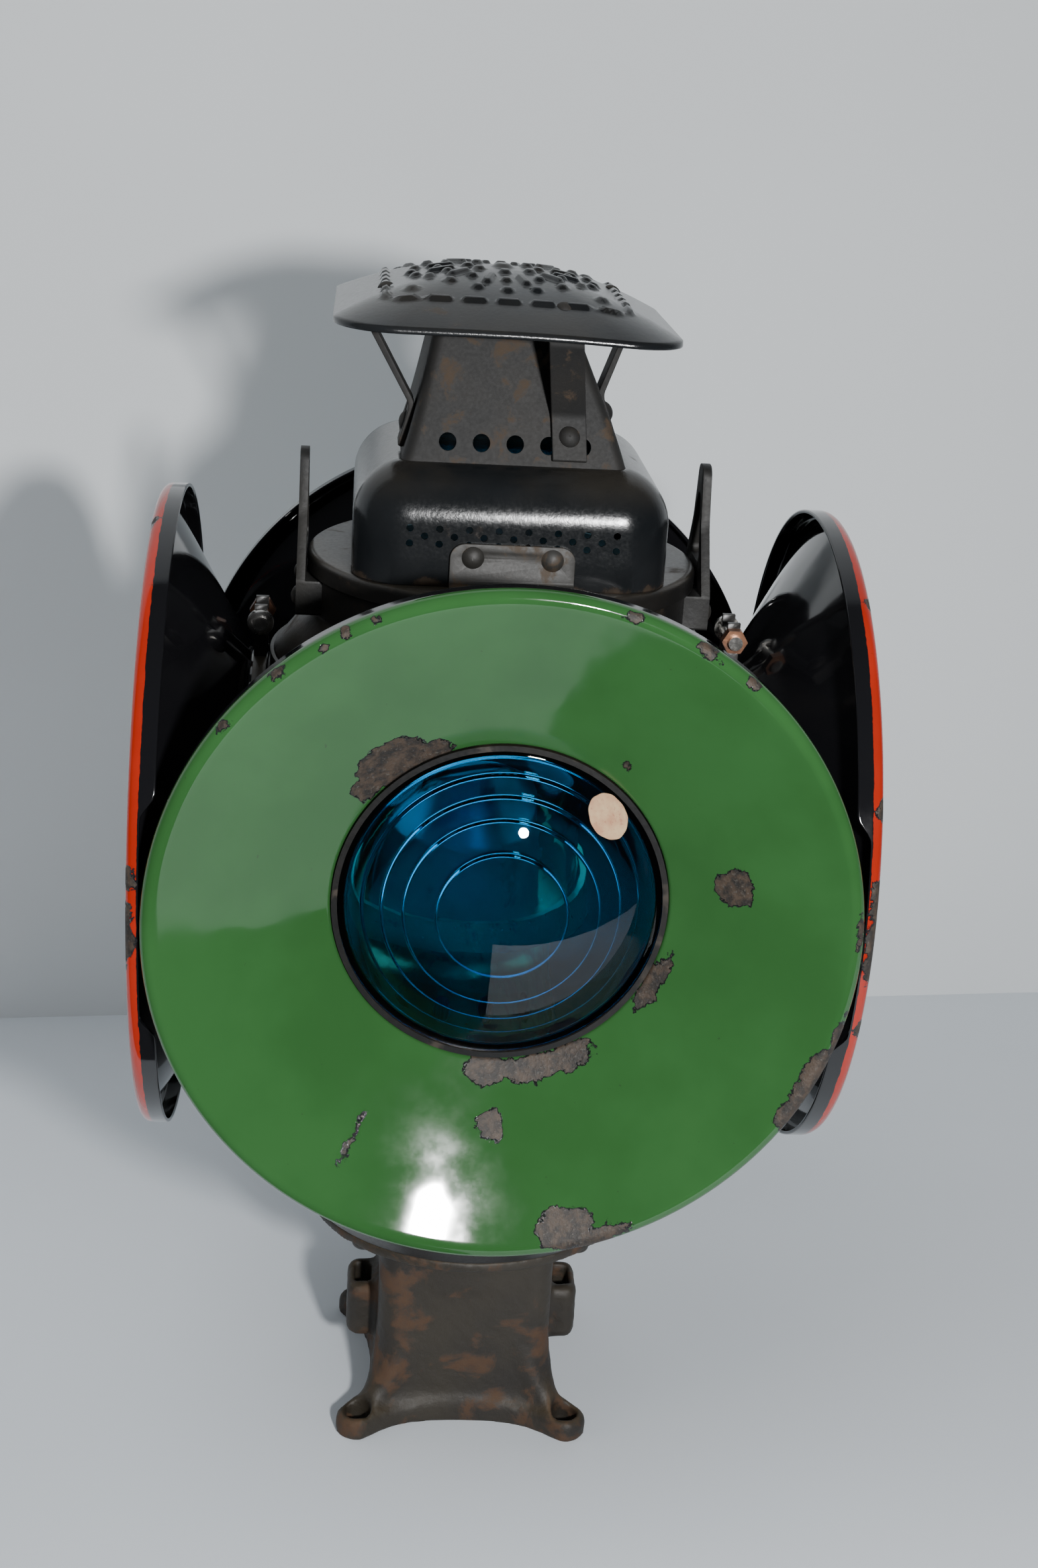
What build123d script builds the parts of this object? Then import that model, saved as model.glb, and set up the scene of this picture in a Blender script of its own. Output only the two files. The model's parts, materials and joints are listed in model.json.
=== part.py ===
from build123d import *
import math
import os

# Four-lens railway switch-stand lamp with enamelled day targets.
# Origin: centre of the base's underside. +Z up, front lens towards -Y. Millimetres.

# ---------------------------------------------------------------- driving sizes
# Lenses and the barrels that hold them
glass_r = 53.4          # glass that shows inside the barrel's lip
glass_bulge = 16.8      # how far the outer face stands out at its middle
glass_edge = 3.5        # thickness of the lens's rim
glass_web = 6.0         # least glass between the outer face and a tread of the inner face
glass_treads = (0.42, 0.63, 0.76, 0.87)   # tread edges, as shares of the glass radius
lip = 1.9               # width of the barrel's in-turned lip
barrel_reach = 8.0      # from the shell's outside to the front of the lip
lens_fit = 0.2          # room round the lens
seal_t = 2.0            # felt ring behind the lens
retainer_t = 1.5        # split wire ring behind the seal
retainer_w = 2.1        # width of the ring, in from the barrel's wall

# Lamp body, in tinned sheet
sheet = 1.2
barrel_gap = 0.6        # room between neighbouring barrels where they meet the shell
lap = 3.0               # overlap of two sheets at a soldered joint
pan_rise = 20.0         # height of the conical pan
fount_room = 76.2       # straight shell below the barrels
shell_over = 5.2        # straight shell above the barrels
shoulder_rise = 16.0
collar_h = 19.6
ring_skirt = 7.0        # rolled-down edge of the top ring
slip_fit = 0.2          # radial room between the collar and the ring, or barrel and target

# Day targets
target_r = 114.3        # 9 inch target
target_sheet = 1.4
target_open = 7.0       # from the shell's outside to the plane of the target's opening
target_collar = 6.5     # length of the collar turned back round the barrel
rim_roll = 3.0          # radius of the rolled rim, at mid-wall
rim_skirt = 8.5         # depth of the rolled rim
rim_room = 4.4          # rim plane beyond the target's radius, so that neighbours clear
rim_clear = 0.6         # gap between the rims of neighbouring targets

# Clamp bands
band_t = 1.5
band_w = 4.5
band_back = 0.5         # from the collar's free edge to the band
clamp_split = 10.0      # gap in the band
clamp_ear = 18.0        # height of the ears from the band
clamp_ear_t = 2.0
clamp_bolt_r = 2.5
clamp_bolt_at = 12.2    # bolt centre above the band
clamp_head_r = 4.6

# Hood: dome, chimney, cap and straps
dome_sheet = 1.0
dome_corner = 17.0
dome_wall = 20.0        # upright part of the dome
dome_crown = 18.0       # rise of the rounded part
dome_seat = 0.7         # width of ring under the dome's edge
neck_step = 14.3        # from the dome's wall in to its neck
chimney_h = 39.0
chimney_in = 12.5       # how far the chimney tapers in on each side
chimney_corner = 4.0
neck_tuck = 4.0         # chimney inside the dome
neck_fit = 0.1
vent_r = 1.2
vent_pitch = 9.65
draught_r = 2.9         # holes in the chimney
draught_pitch = 11.1
cap_over = 4.0          # cap's edge beyond the dome's wall
cap_corner = 20.0
cap_lip = 2.0
cap_crown = 14.5         # rise from the lip to the middle
cap_shares = (1, 0.9, 0.76, 0.62, 0.45, 0.25)     # shares of the half width where the crown is drawn
cap_facet_at = 2         # number of the share where the straps' tabs begin
cap_gap = 4.0           # from the chimney's mouth up to the cap's edge
cap_room = 11.5         # from the cap's edge in to the straps
strap_w = 11.4
strap_t = 2.0
strap_off = 18.0        # strap's distance from the middle of its face
strap_fit = 0.05        # between a strap's tab and the cap

# Fount and burner
fount_r = 49.5
fount_h = 76.0
fount_sheet = 0.8
fount_pass = 1.3        # room for the fount through the top ring
seat_h = 5.0
filler_r = 7.5
filler_bore = 6.2
filler_cap_r = 9.5
filler_cap_h = 9.0
filler_room = 1.5       # between the filler cap and the burner
thread_fit = 0.05
collar_bore = 12.0      # hole in the fount for the burner collar
burner_wide = 3.0       # burner's wall beyond the collar's bore
tube_wall = 0.6
burner_h = 24.0
wick_w = 16.0
wick_t = 2.5
wick_fit = 0.3
wick_show = 2.0
wick_tube_h = 50.0
spindle_r = 1.5
spindle_fit = 0.05
spindle_out = 20.0      # spindle beyond the burner on the knob's side
star_r = 4.4
star_gap = 0.35
knob_r = 8.0
knob_t = 4.0
glass_chimney_r = 18.5
glass_chimney_h = 66.0

# Base casting
base_h = 88.0
flange_t = 4.0
flange_edge = 6.0       # from the bolt circle to the flange's edge
bolt_out = 6.5          # bolt circle beyond the fount
flare_h = 22.0
tube_half = 33.0
tube_corner = 8.0
socket_half = 26.0
socket_corner = 3.0
socket_roof = 12.0      # metal over the socket, below the base's top
foot_out = 14.0         # foot tip beyond the tube
foot_t = 8.0
foot_corner = 5.0
rib_t = 9.0
rib_h = 42.0
lug_out = 12.0          # fork lug beyond the tube
lug_w = 24.0
lug_z = 22.0
lug_h = 23.0
slot_x = 6.4            # fork slot
slot_y = 13.0
base_bolt_r = 2.5
base_head_r = 4.5

# Ears, hinge, latch and rivets
ear_t = 3.0
ear_rise = 41.0         # ear's top above the top of the collar skirt zone
ear_top_r = 5.0
ear_foot_half = 23.0
ear_clear = 0.3         # between the ear and the ring
hinge_w = 41.0
hinge_mid = 10.2        # half-length of the middle knuckle
hinge_end = 0.2         # play between knuckles
hinge_t = 1.5
knuckle_r = 3.2
pin_r = 1.6
pin_fit = 0.05
leaf_h = 15.0
leaf_over = 0.5         # hood leaf above the ring
latch_w = 16.0
latch_clear = 0.3
rivet_r = 1.6
rivet_head_r = 3.7
pad_h = 12.0            # height of the pads riveted to the collar
pad_t = 1.6             # least thickness of a pad

# ---------------------------------------------------------------- worked-out sizes
barrel_r = glass_r + lip
body_r = barrel_r * math.sqrt(2) + barrel_gap + sheet
barrel_front = body_r + barrel_reach
target_face = body_r + target_open

ring_open_r = fount_r + fount_pass
dome_half = ring_open_r + dome_seat + dome_sheet
ring_r = (dome_half - dome_corner) * math.sqrt(2) + dome_corner + 0.4
collar_r = ring_r - sheet - slip_fit

pan_top = base_h + pan_rise
lens_z = pan_top + fount_room + barrel_r
shell_top = lens_z + barrel_r + shell_over
collar_z = shell_top + shoulder_rise
collar_top = collar_z + collar_h
seat_z = collar_top + sheet

neck_half = dome_half - neck_step
neck_z = seat_z + dome_wall + dome_crown
chimney_half = neck_half - dome_sheet - neck_fit
chimney_top = neck_z + chimney_h
chimney_slope = chimney_in / chimney_h
cap_half = dome_half + cap_over
cap_z = chimney_top + cap_gap

bolt_circle = fount_r + bolt_out
flange_r = bolt_circle + flange_edge
pan_floor_r = bolt_circle + 6.5
floor_z = base_h + sheet
fount_z = floor_z + seat_h
fount_top = fount_z + fount_h
burner_r = collar_bore + burner_wide
filler_at = burner_r + filler_room + filler_cap_r
cover_flat = filler_at + filler_r + 1.5

band_r = barrel_r + slip_fit + target_sheet
rim_r = target_r - target_sheet / 2
collar_mid = barrel_r + slip_fit + target_sheet / 2
target_plane = target_r + rim_room

pin_y = -(ring_r + knuckle_r + 1.2)
pin_z = seat_z + leaf_over + hinge_t - knuckle_r
pad_z = seat_z - ring_skirt - pad_h - 0.6
cap_wall = 1.2 * dome_sheet     # the cap's wall at the straps, measured across
burner_z = fount_top + 5
gallery_z = burner_z + burner_h + 0.6
shelf_z = gallery_z + 1.0
star_z = burner_z + 8
tube_top = burner_z - 4 + wick_tube_h
wick_room = (wick_w / 2 + wick_fit, wick_t / 2 + wick_fit)
tube_half_x, tube_half_y = (side + tube_wall for side in wick_room)
tube_reach = math.hypot(tube_half_x, tube_half_y)
star_y = -(wick_t / 2 + star_gap + star_r)
spindle_end = -(burner_r + spindle_out)
ear_face = ring_r + ear_clear + ear_t
ear_spread = 17.0
leaf_face = collar_r + pad_t
leaf_spread = 13.0
keeper_spread = 12.0
tongue_spread = 4.5
# facing side, outer face, rivet spread of each fitting on the collar
collar_fittings = ((1, ear_face, ear_spread), (3, ear_face, ear_spread),
                   (0, leaf_face, leaf_spread), (2, leaf_face, keeper_spread))
# facing side and rivet spread of each fitting on the dome
hood_fittings = ((0, leaf_spread), (2, tongue_spread))
sides = ("front", "right", "back", "left")


# ---------------------------------------------------------------- helpers
def outline(points, radii=0):
    """A face in the XZ plane inside a closed line of (x, z) points."""
    places = [(x, 0, z) for x, z in points]
    return make_face(FilletPolyline(*places, radius=radii, close=True).edges())


def sheet_section(points, wall, bends):
    """Section of bent sheet in the XZ plane, with half its wall on each side of the points.

    bends holds the mid-wall radius at each inner point."""
    line = [Vector(x, 0, z) for x, z in points]
    steps = [(b - a).normalized() for a, b in zip(line, line[1:])]
    normals = [Vector(-s.Z, 0, s.X) for s in steps]
    left, right, inner, outer = [], [], [], []
    for i, place in enumerate(line):
        before = normals[max(i - 1, 0)]
        after = normals[min(i, len(normals) - 1)]
        reach = (before + after) * (wall / 2 / (1 + before.dot(after)))
        left.append(place + reach)
        right.append(place - reach)
        if 0 < i < len(line) - 1:
            turn = math.copysign(wall / 2, before.cross(after).Y)
            inner.append(max(bends[i - 1] + turn, 0))
            outer.append(max(bends[i - 1] - turn, 0))
    radii = [0, *inner, 0, 0, *reversed(outer), 0]
    corners = [*left, *reversed(right)]
    return make_face(FilletPolyline(*corners, radius=radii, close=True).edges())


def spun(face):
    """The face in the XZ plane turned a full turn about Z."""
    return revolve(face, Axis.Z)


def ring(inner, outer, low, high):
    """Plain ring about Z."""
    return spun(outline([(inner, low), (outer, low), (outer, high), (inner, high)]))


def bent_plate(points, wall, bends, width):
    """Bent sheet in the XZ plane, as wide as told along Y."""
    return extrude(sheet_section(points, wall, bends), width / 2, both=True)


def square_loft(levels):
    """Solid through rounded squares, each given as (z, half width, corner radius)."""
    faces = [Pos(0, 0, z) * RectangleRounded(2 * half, 2 * half, corner) for z, half, corner in levels]
    return loft(faces, ruled=True)


def block(x, y, z):
    """Box between two limits on each axis."""
    size = (x[1] - x[0], y[1] - y[0], z[1] - z[0])
    middle = ((x[0] + x[1]) / 2, (y[0] + y[1]) / 2, (z[0] + z[1]) / 2)
    return Pos(*middle) * Box(*size)


def on_side(number):
    """Place of a piece drawn about +Z, on the lens axis of a side: 0 front, 1 right, 2 back, 3 left."""
    return Pos(0, 0, lens_z) * Rot(0, 0, 90 * number) * Rot(90, 0, 0)


def facing(number):
    """Turn of a piece drawn towards +X so that it faces a side."""
    return Rot(0, 0, 90 * number - 90)


def rivet(grip, head=rivet_head_r, shank=rivet_r):
    """Round-head rivet along Z: head above 0, shank down through the grip, upset tail below."""
    tail = shank * 1.5
    head_h = head * 0.5
    cap_r = (head**2 + head_h**2) / (2 * head_h)
    half_turn = math.asin(head / cap_r) / 2
    bow = (cap_r * math.sin(half_turn), 0, head_h - cap_r + cap_r * math.cos(half_turn))
    path = Polyline((0, 0, head_h), (0, 0, -grip - 0.8), (tail, 0, -grip - 0.8), (tail, 0, -grip),
                    (shank, 0, -grip), (shank, 0, 0), (head, 0, 0))
    dome = ThreePointArc((head, 0, 0), bow, (0, 0, head_h))
    return spun(make_face([*path.edges(), *dome.edges()]))


def drill(depth, radius=rivet_r):
    """Cutter for a hole along Z, from just above 0 down past the depth."""
    return Pos(0, 0, -depth / 2) * Cylinder(radius, depth + 4)


def screw(radius, length, head_r, head_h):
    """Screw along Z: domed head above 0, shank below."""
    head = Pos(0, 0, head_h / 2) * Cylinder(head_r, head_h)
    head = fillet(head.edges().group_by(Axis.Z)[-1], head_h * 0.6)
    return head + Pos(0, 0, -length / 2) * Cylinder(radius, length)


def nut(radius, across, height):
    """Hexagon nut on a screw, from 0 down."""
    body = extrude(RegularPolygon(across / 2, 6, major_radius=False), -height)
    return body - Pos(0, 0, -height / 2) * Cylinder(radius, height * 2)


def joined(parts):
    """Several separate solids in one node."""
    return Compound(children=[p for part in parts for p in part.solids()])


# ---------------------------------------------------------------- lamp body
def base_casting():
    """Cast base: flange, flare, square tube on four ribbed feet, socket below, two fork lugs."""
    flare = outline([(0, base_h - flange_t - flare_h), (tube_half, base_h - flange_t - flare_h),
                     (flange_r - 8, base_h - flange_t - 4), (flange_r, base_h - flange_t),
                     (flange_r, base_h), (0, base_h)], [0, 0, 14, 1, 1, 0])
    tube = extrude(RectangleRounded(2 * tube_half, 2 * tube_half, tube_corner), base_h - flange_t - 2)
    foot_half = tube_half + foot_out
    sag = foot_out
    bow_r = (foot_half**2 * 0.66 + sag**2) / (2 * sag)
    pad = extrude(RectangleRounded(2 * foot_half, 2 * foot_half, foot_corner), foot_t)
    for number in range(4):
        pad -= Rot(0, 0, 90 * number) * Pos(tube_half + bow_r, 0, foot_t / 2) * Cylinder(bow_r, 2 * foot_t)
    tip = (foot_half - foot_corner) * math.sqrt(2)
    root = (tube_half - tube_corner) * math.sqrt(2)
    rib = extrude(outline([(root, 0), (tip, 0), (tip, foot_t + 2), (root + 12, rib_h - 12), (root, rib_h)],
                          [0, 0, 2, 14, 0]), rib_t / 2, both=True)
    lug = block((0, tube_half + lug_out), (-lug_w / 2, lug_w / 2), (lug_z, lug_z + lug_h))
    lug = fillet(lug.edges().filter_by(Axis.Z).group_by(Axis.X)[-1], 5)
    body = spun(flare) + tube + pad
    body += [Rot(0, 0, 45 + 90 * n) * rib for n in range(4)]
    body += [Rot(0, 0, 180 * n) * lug for n in range(2)]
    body -= extrude(RectangleRounded(2 * socket_half, 2 * socket_half, socket_corner), base_h - socket_roof)
    slot = extrude(RectangleRounded(slot_x, slot_y, 2), lug_z + 2 * lug_h)
    body -= [Rot(0, 0, 180 * n) * Pos(tube_half + lug_out / 2, 0, 0) * slot for n in range(2)]
    body -= [place * drill(flange_t + 8, base_bolt_r) for place in base_bolt_places(base_h)]
    seats = [place * Pos(0, 0, -flare_h / 2) * Cylinder(base_head_r + 0.4, flare_h)
             for place in base_bolt_places(base_h - flange_t)]
    return body - seats


def base_bolt_places(height):
    """The four base bolts' axes, between the feet's diagonals and the lens axes."""
    return [Rot(0, 0, 45 + 90 * n) * Pos(bolt_circle, 0, height) for n in range(4)]


def body_pan():
    """Conical pan that the fount stands in, bolted to the base."""
    seam_r = body_r - 1.5 * sheet
    pan = spun(sheet_section([(0, base_h + sheet / 2), (pan_floor_r, base_h + sheet / 2),
                              (seam_r, pan_top), (seam_r, pan_top + lap)], sheet, [3, 3]))
    return pan - [place * drill(sheet, base_bolt_r) for place in base_bolt_places(floor_z)]


def body_shell():
    """Rolled shell with an opening for each lens barrel."""
    shell = ring(body_r - sheet, body_r, pan_top, shell_top)
    return shell - [on_side(n) * Cylinder(barrel_r, 4 * body_r) for n in range(2)]


def body_shoulder():
    """Cone and upright collar that close the shell in to the top ring."""
    seam_r = body_r - 1.5 * sheet
    top_r = collar_r - sheet / 2
    face = sheet_section([(seam_r, shell_top - lap), (seam_r, shell_top), (top_r, collar_z),
                          (top_r, collar_top)], sheet, [2, 3])
    return spun(face) - collar_holes()


def top_ring():
    """Dished ring on the collar: the hood shuts on it and the fount passes through it."""
    level = collar_top + sheet / 2
    edge = ring_r - sheet / 2
    line = [(ring_open_r, level), (edge, level), (edge, seat_z - ring_skirt)]
    return spun(sheet_section(line, sheet, [sheet / 2]))


def lens_barrel():
    """Short barrel from the shell to the in-turned lip that holds the lens, drawn about +Z."""
    tube = ring(barrel_r - sheet, barrel_r, 0, barrel_front)
    tube += ring(glass_r, barrel_r, barrel_front - sheet, barrel_front)
    return tube - Rot(90, 0, 0) * Cylinder(body_r - sheet, 4 * body_r)


def lens():
    """Stepped lens: bulging smooth outside, flat treads inside, drawn about +Z."""
    seat = barrel_front - sheet
    sight = glass_r - lens_fit
    crown_r = (sight**2 + glass_bulge**2) / (2 * glass_bulge)
    centre = seat + glass_bulge - crown_r
    half_turn = math.asin(sight / crown_r) / 2
    bow = (crown_r * math.sin(half_turn), 0, centre + crown_r * math.cos(half_turn))
    rim = barrel_r - sheet - lens_fit
    back = [(rim, seat), (rim, seat - glass_edge), (sight, seat - glass_edge)]
    for share in reversed(glass_treads):
        edge = share * glass_r
        tread = centre + math.sqrt(crown_r**2 - edge**2) - glass_web - glass_edge
        back += [(edge, back[-1][1]), (edge, max(tread, back[-1][1] + 0.5))]
    back.append((0, back[-1][1]))
    crown = ThreePointArc((0, 0, seat + glass_bulge), bow, (sight, 0, seat))
    edges = Polyline((sight, 0, seat), *[(x, 0, z) for x, z in back], (0, 0, seat + glass_bulge))
    return spun(make_face([*crown.edges(), *edges.edges()]))


def lens_seal():
    """Felt ring behind the lens, drawn about +Z."""
    front = barrel_front - sheet - glass_edge
    return ring(glass_r - 3, barrel_r - sheet - lens_fit, front - seal_t, front)


def lens_retainer():
    """Split spring ring that holds the seal, sprung into the barrel, drawn about +Z."""
    front = barrel_front - sheet - glass_edge - seal_t
    bore = barrel_r - sheet
    band = ring(bore - retainer_w, bore, front - retainer_t, front)
    return band - block((-4, 4), (-2 * barrel_r, 0), (0, 2 * body_r))


# ---------------------------------------------------------------- day targets
def day_target():
    """Dished target with a rolled rim and a collar round the barrel, drawn about +Z.

    The dish's slope is the one that is tangent to the roll and brings the rim to its plane."""
    run = rim_r - rim_roll - collar_mid
    rise = target_plane - target_sheet / 2 - rim_roll - target_face
    slope = math.atan2(rise, run) + math.asin(rim_roll / math.hypot(rise, run))
    corner = target_face + (rim_r - collar_mid) * math.tan(slope)
    dish = spun(sheet_section([(collar_mid, target_face - target_collar), (collar_mid, target_face),
                               (rim_r, corner), (rim_r, target_plane - rim_skirt)],
                              target_sheet, [target_sheet, rim_roll]))
    relief = target_r + rim_clear
    reach = math.sqrt(target_r**2 - (target_plane - rim_skirt)**2) + 4
    cutter = ring(rim_r - target_sheet, target_r + 1, relief - 2 * rim_skirt, relief)
    return dish - (cutter & block((-2 * target_r, 2 * target_r), (-reach, reach), (0, 2 * target_r)))


def clamp_band():
    """Split band round the target's collar, with two ears for its bolt, drawn about +Z."""
    low = target_face - target_collar + band_back
    high = low + band_w
    ear_top = band_r + band_t + clamp_ear
    half = clamp_split / 2
    band = ring(band_r, band_r + band_t, low, high)
    band -= block((-half, half), (0, 2 * band_r), (low - 1, high + 1))
    for sign in (-1, 1):
        near, far = sorted((sign * half, sign * (half + clamp_ear_t)))
        ear = block((near, far), (band_r, ear_top), (low, high))
        band += ear - Cylinder(band_r, 4 * body_r)
    bolt_y = band_r + band_t + clamp_bolt_at
    hole = Pos(0, bolt_y, (low + high) / 2) * Rot(0, 90, 0) * Cylinder(clamp_bolt_r, 6 * clamp_split)
    return band - hole


def clamp_place(offset):
    """Axis of the clamp bolt, with +Z towards its head, that far from the middle of the split."""
    bolt_y = band_r + band_t + clamp_bolt_at
    level = target_face - target_collar + band_back + band_w / 2
    return Pos(offset, bolt_y, level) * Rot(0, 90 if offset > 0 else -90, 0)


def clamp_bolt():
    """Domed bolt through both ears of a clamp band."""
    face = clamp_split / 2 + clamp_ear_t
    return clamp_place(face) * screw(clamp_bolt_r, 2 * face + 6, clamp_head_r, 4)


def clamp_nut():
    """Nut on the clamp bolt."""
    return clamp_place(-clamp_split / 2 - clamp_ear_t) * Rot(180, 0, 0) * nut(clamp_bolt_r, 8, 4)


# ---------------------------------------------------------------- collar fittings
def collar_pad(width, face, height=pad_h):
    """Saddle pad that fits the collar and has a flat outer face, drawn towards +X."""
    pad = block((collar_r * 0.8, face), (-width / 2, width / 2), (pad_z, pad_z + height))
    return pad - Cylinder(collar_r, 4 * lens_z)


def pad_rivet_places(face, spread):
    """Rivet places on a pad's flat face, drawn towards +X, with +Z outwards."""
    return [Pos(face, y, pad_z + pad_h * 0.45) * Rot(0, 90, 0) for y in (-spread, spread)]


def pad_grip(face, spread):
    """Grip of a rivet through a pad and the curved collar behind it."""
    return face - math.sqrt((collar_r - sheet)**2 - (spread + 1.5 * rivet_r)**2)


def collar_holes():
    """Cutters for the rivets that pass through the collar."""
    return [facing(side) * place * drill(pad_grip(face, spread))
            for side, face, spread in collar_fittings for place in pad_rivet_places(face, spread)]


def collar_rivets():
    """Rivets of the four fittings on the collar."""
    return joined([facing(side) * place * rivet(pad_grip(face, spread))
                   for side, face, spread in collar_fittings for place in pad_rivet_places(face, spread)])


def lifting_ear():
    """Cast ear with a finger hole, on a saddle foot riveted to the collar, drawn towards +X."""
    plate_x = (ring_r + ear_clear, ear_face)
    low = pad_z
    top = seat_z + ear_rise - ear_top_r - 7
    waist = seat_z + 14
    shape = [(-ear_foot_half, low), (ear_foot_half, low), (ear_foot_half, low + pad_h), (9.5, waist),
             (ear_top_r, top + ear_top_r), (-ear_top_r, top + ear_top_r), (-9.5, waist),
             (-ear_foot_half, low + pad_h)]
    hole = [(-10, seat_z + 1), (10, seat_z + 1), (2.6, top - 5), (-2.6, top - 5)]
    ear = extrude(outline(shape, [1, 1, 3, 18, 4.9, 4.9, 18, 3]), 2 * ring_r, both=True)
    ear -= extrude(outline(hole, [2.5, 2.5, 2.5, 2.5]), 2 * ring_r, both=True)
    ear = Rot(0, 0, 90) * ear
    foot = block((collar_r * 0.8, ear_face), (-2 * ring_r, 2 * ring_r), (low, low + pad_h))
    room = foot - Cylinder(collar_r, 4 * lens_z)
    room += block(plate_x, (-2 * ring_r, 2 * ring_r), (low, 2 * seat_z))
    ear &= room
    return ear - [place * drill(2 * pad_h) for place in pad_rivet_places(ear_face, ear_spread)]


def knuckle(low, high, bore):
    """Hinge knuckle along Y at the pin, drawn towards +X."""
    middle = Pos(-pin_y, (low + high) / 2, pin_z) * Rot(90, 0, 0)
    return middle * Cylinder(knuckle_r, high - low) - middle * Cylinder(bore, high - low + 2)


def hinge_leaf_body():
    """Hinge leaf riveted to the collar, with the two outer knuckles, drawn towards +X."""
    half = hinge_w / 2
    plate = (-pin_y - hinge_t / 2, -pin_y + hinge_t / 2)
    shelf_z = pad_z + pad_h
    leaf = collar_pad(hinge_w, leaf_face)
    leaf += block((leaf_face - 1, plate[1]), (-half, half), (shelf_z - hinge_t, shelf_z))
    leaf += block(plate, (-half, half), (shelf_z - hinge_t, pin_z))
    leaf -= block((leaf_face, 2 * ring_r), (-hinge_mid - hinge_end, hinge_mid + hinge_end),
                  (pin_z - knuckle_r - leaf_over, 2 * seat_z))
    leaf -= Pos(-pin_y, 0, pin_z) * Rot(90, 0, 0) * Cylinder(pin_r, 2 * hinge_w)
    leaf += [knuckle(hinge_mid + hinge_end, half, pin_r), knuckle(-half, -hinge_mid - hinge_end, pin_r)]
    return leaf - [place * drill(2 * pad_h) for place in pad_rivet_places(leaf_face, leaf_spread)]


def hinge_leaf_hood():
    """Hinge leaf riveted to the dome, with the middle knuckle, drawn towards +X."""
    flat = dome_half + hinge_t / 2
    shelf = seat_z + leaf_over + hinge_t / 2
    leaf = bent_plate([(flat, seat_z + leaf_h), (flat, shelf), (-pin_y, shelf)], hinge_t, [2], hinge_w)
    leaf = fillet(leaf.edges().filter_by(Axis.X).group_by(Axis.Z)[-1], 5)
    for sign in (-1, 1):
        near, far = sorted((sign * hinge_mid, sign * hinge_w))
        leaf -= block((-pin_y - knuckle_r - 0.6, -pin_y + 2 * knuckle_r), (near, far), (0, 2 * seat_z))
    leaf -= Pos(-pin_y, 0, pin_z) * Rot(90, 0, 0) * Cylinder(pin_r + pin_fit, 2 * hinge_w)
    leaf += knuckle(-hinge_mid, hinge_mid, pin_r + pin_fit)
    return leaf - [place * drill(hinge_t) for place in hood_rivet_places(leaf_spread)]


def hinge_pin():
    """Hinge pin with two peened ends, drawn towards +X."""
    half = hinge_w / 2
    heads = [Pos(0, 0, sign * (half + 0.6)) * Cylinder(pin_r + 0.8, 1.2) for sign in (-1, 1)]
    pin = Cylinder(pin_r, hinge_w) + heads
    return Pos(-pin_y, 0, pin_z) * Rot(90, 0, 0) * pin


def hood_rivet_places(spread):
    """Two rivet places on a fitting on the dome's wall, drawn towards +X, with +Z outwards."""
    return [Pos(dome_half + hinge_t, y, seat_z + leaf_h * 0.7) * Rot(0, 90, 0) for y in (-spread, spread)]


def latch_tongue():
    """Spring tongue on the dome that snaps down past the keeper, drawn towards +X."""
    flat = dome_half + hinge_t / 2
    shelf = seat_z + leaf_over + hinge_t / 2
    out = ring_r + 1.2 + hinge_t / 2
    line = [(flat, seat_z + leaf_h), (flat, shelf), (out, shelf), (out, pad_z + 3), (out + 7, pad_z - 3)]
    tongue = bent_plate(line, hinge_t, [2, 2, 3], latch_w)
    tongue = fillet(tongue.edges().filter_by(Axis.X).group_by(Axis.Z)[-1], 4)
    return tongue - [place * drill(hinge_t) for place in hood_rivet_places(tongue_spread)]


def latch_keeper():
    """Keeper on the collar with a round nose that the tongue rubs over, drawn towards +X."""
    nose_r = 3.0
    reach = ring_r + 1.2 - latch_clear
    nose = Pos(reach - nose_r, 0, pad_z + pad_h - nose_r) * Rot(90, 0, 0) * Cylinder(nose_r, 6)
    keeper = collar_pad(2 * latch_w, leaf_face) + (nose - Cylinder(collar_r, 4 * lens_z))
    return keeper - [place * drill(2 * pad_h) for place in pad_rivet_places(leaf_face, keeper_spread)]


# ---------------------------------------------------------------- hood
def dome_levels(inset):
    """Rounded squares of the dome: upright wall, then a crown that curves in to the neck."""
    steps = 5
    sweep = math.radians(75)
    neck_corner = chimney_corner + dome_sheet + neck_fit
    levels = [(seat_z, dome_half, dome_corner)]
    for n in range(steps + 1):
        turn = sweep * n / steps
        share = (1 - math.cos(turn)) / (1 - math.cos(sweep))
        z = seat_z + dome_wall + dome_crown * math.sin(turn) / math.sin(sweep)
        levels.append((z, dome_half - neck_step * share, dome_corner + (neck_corner - dome_corner) * share))
    return [(z, half - inset, corner - inset) for z, half, corner in levels]


def ventilator_dome():
    """Drawn dome with three staggered rows of vent holes in each face."""
    outer = dome_levels(0)
    inner = dome_levels(dome_sheet)
    inner[0] = (seat_z - 1, *inner[0][1:])
    inner.append((neck_z + 2, *inner[-1][1:]))
    dome = square_loft(outer) - square_loft(inner)
    cutters = []
    for row, count in enumerate((8, 7, 8)):
        z = seat_z + dome_wall - 0.8 - 2.5 * row
        for n in range(count):
            x = (n - (count - 1) / 2) * vent_pitch
            cutters.append(Pos(x, 0, z) * Rot(90, 0, 0) * Cylinder(vent_r, 4 * dome_half))
            cutters.append(Pos(0, x, z) * Rot(0, 90, 0) * Cylinder(vent_r, 4 * dome_half))
    cutters += [facing(side) * place * drill(hinge_t + dome_sheet)
                for side, spread in hood_fittings for place in hood_rivet_places(spread)]
    return dome - cutters


def chimney_at(z):
    """Half-width of the chimney's outside at a height."""
    return chimney_half - (z - neck_z) * chimney_slope


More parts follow.
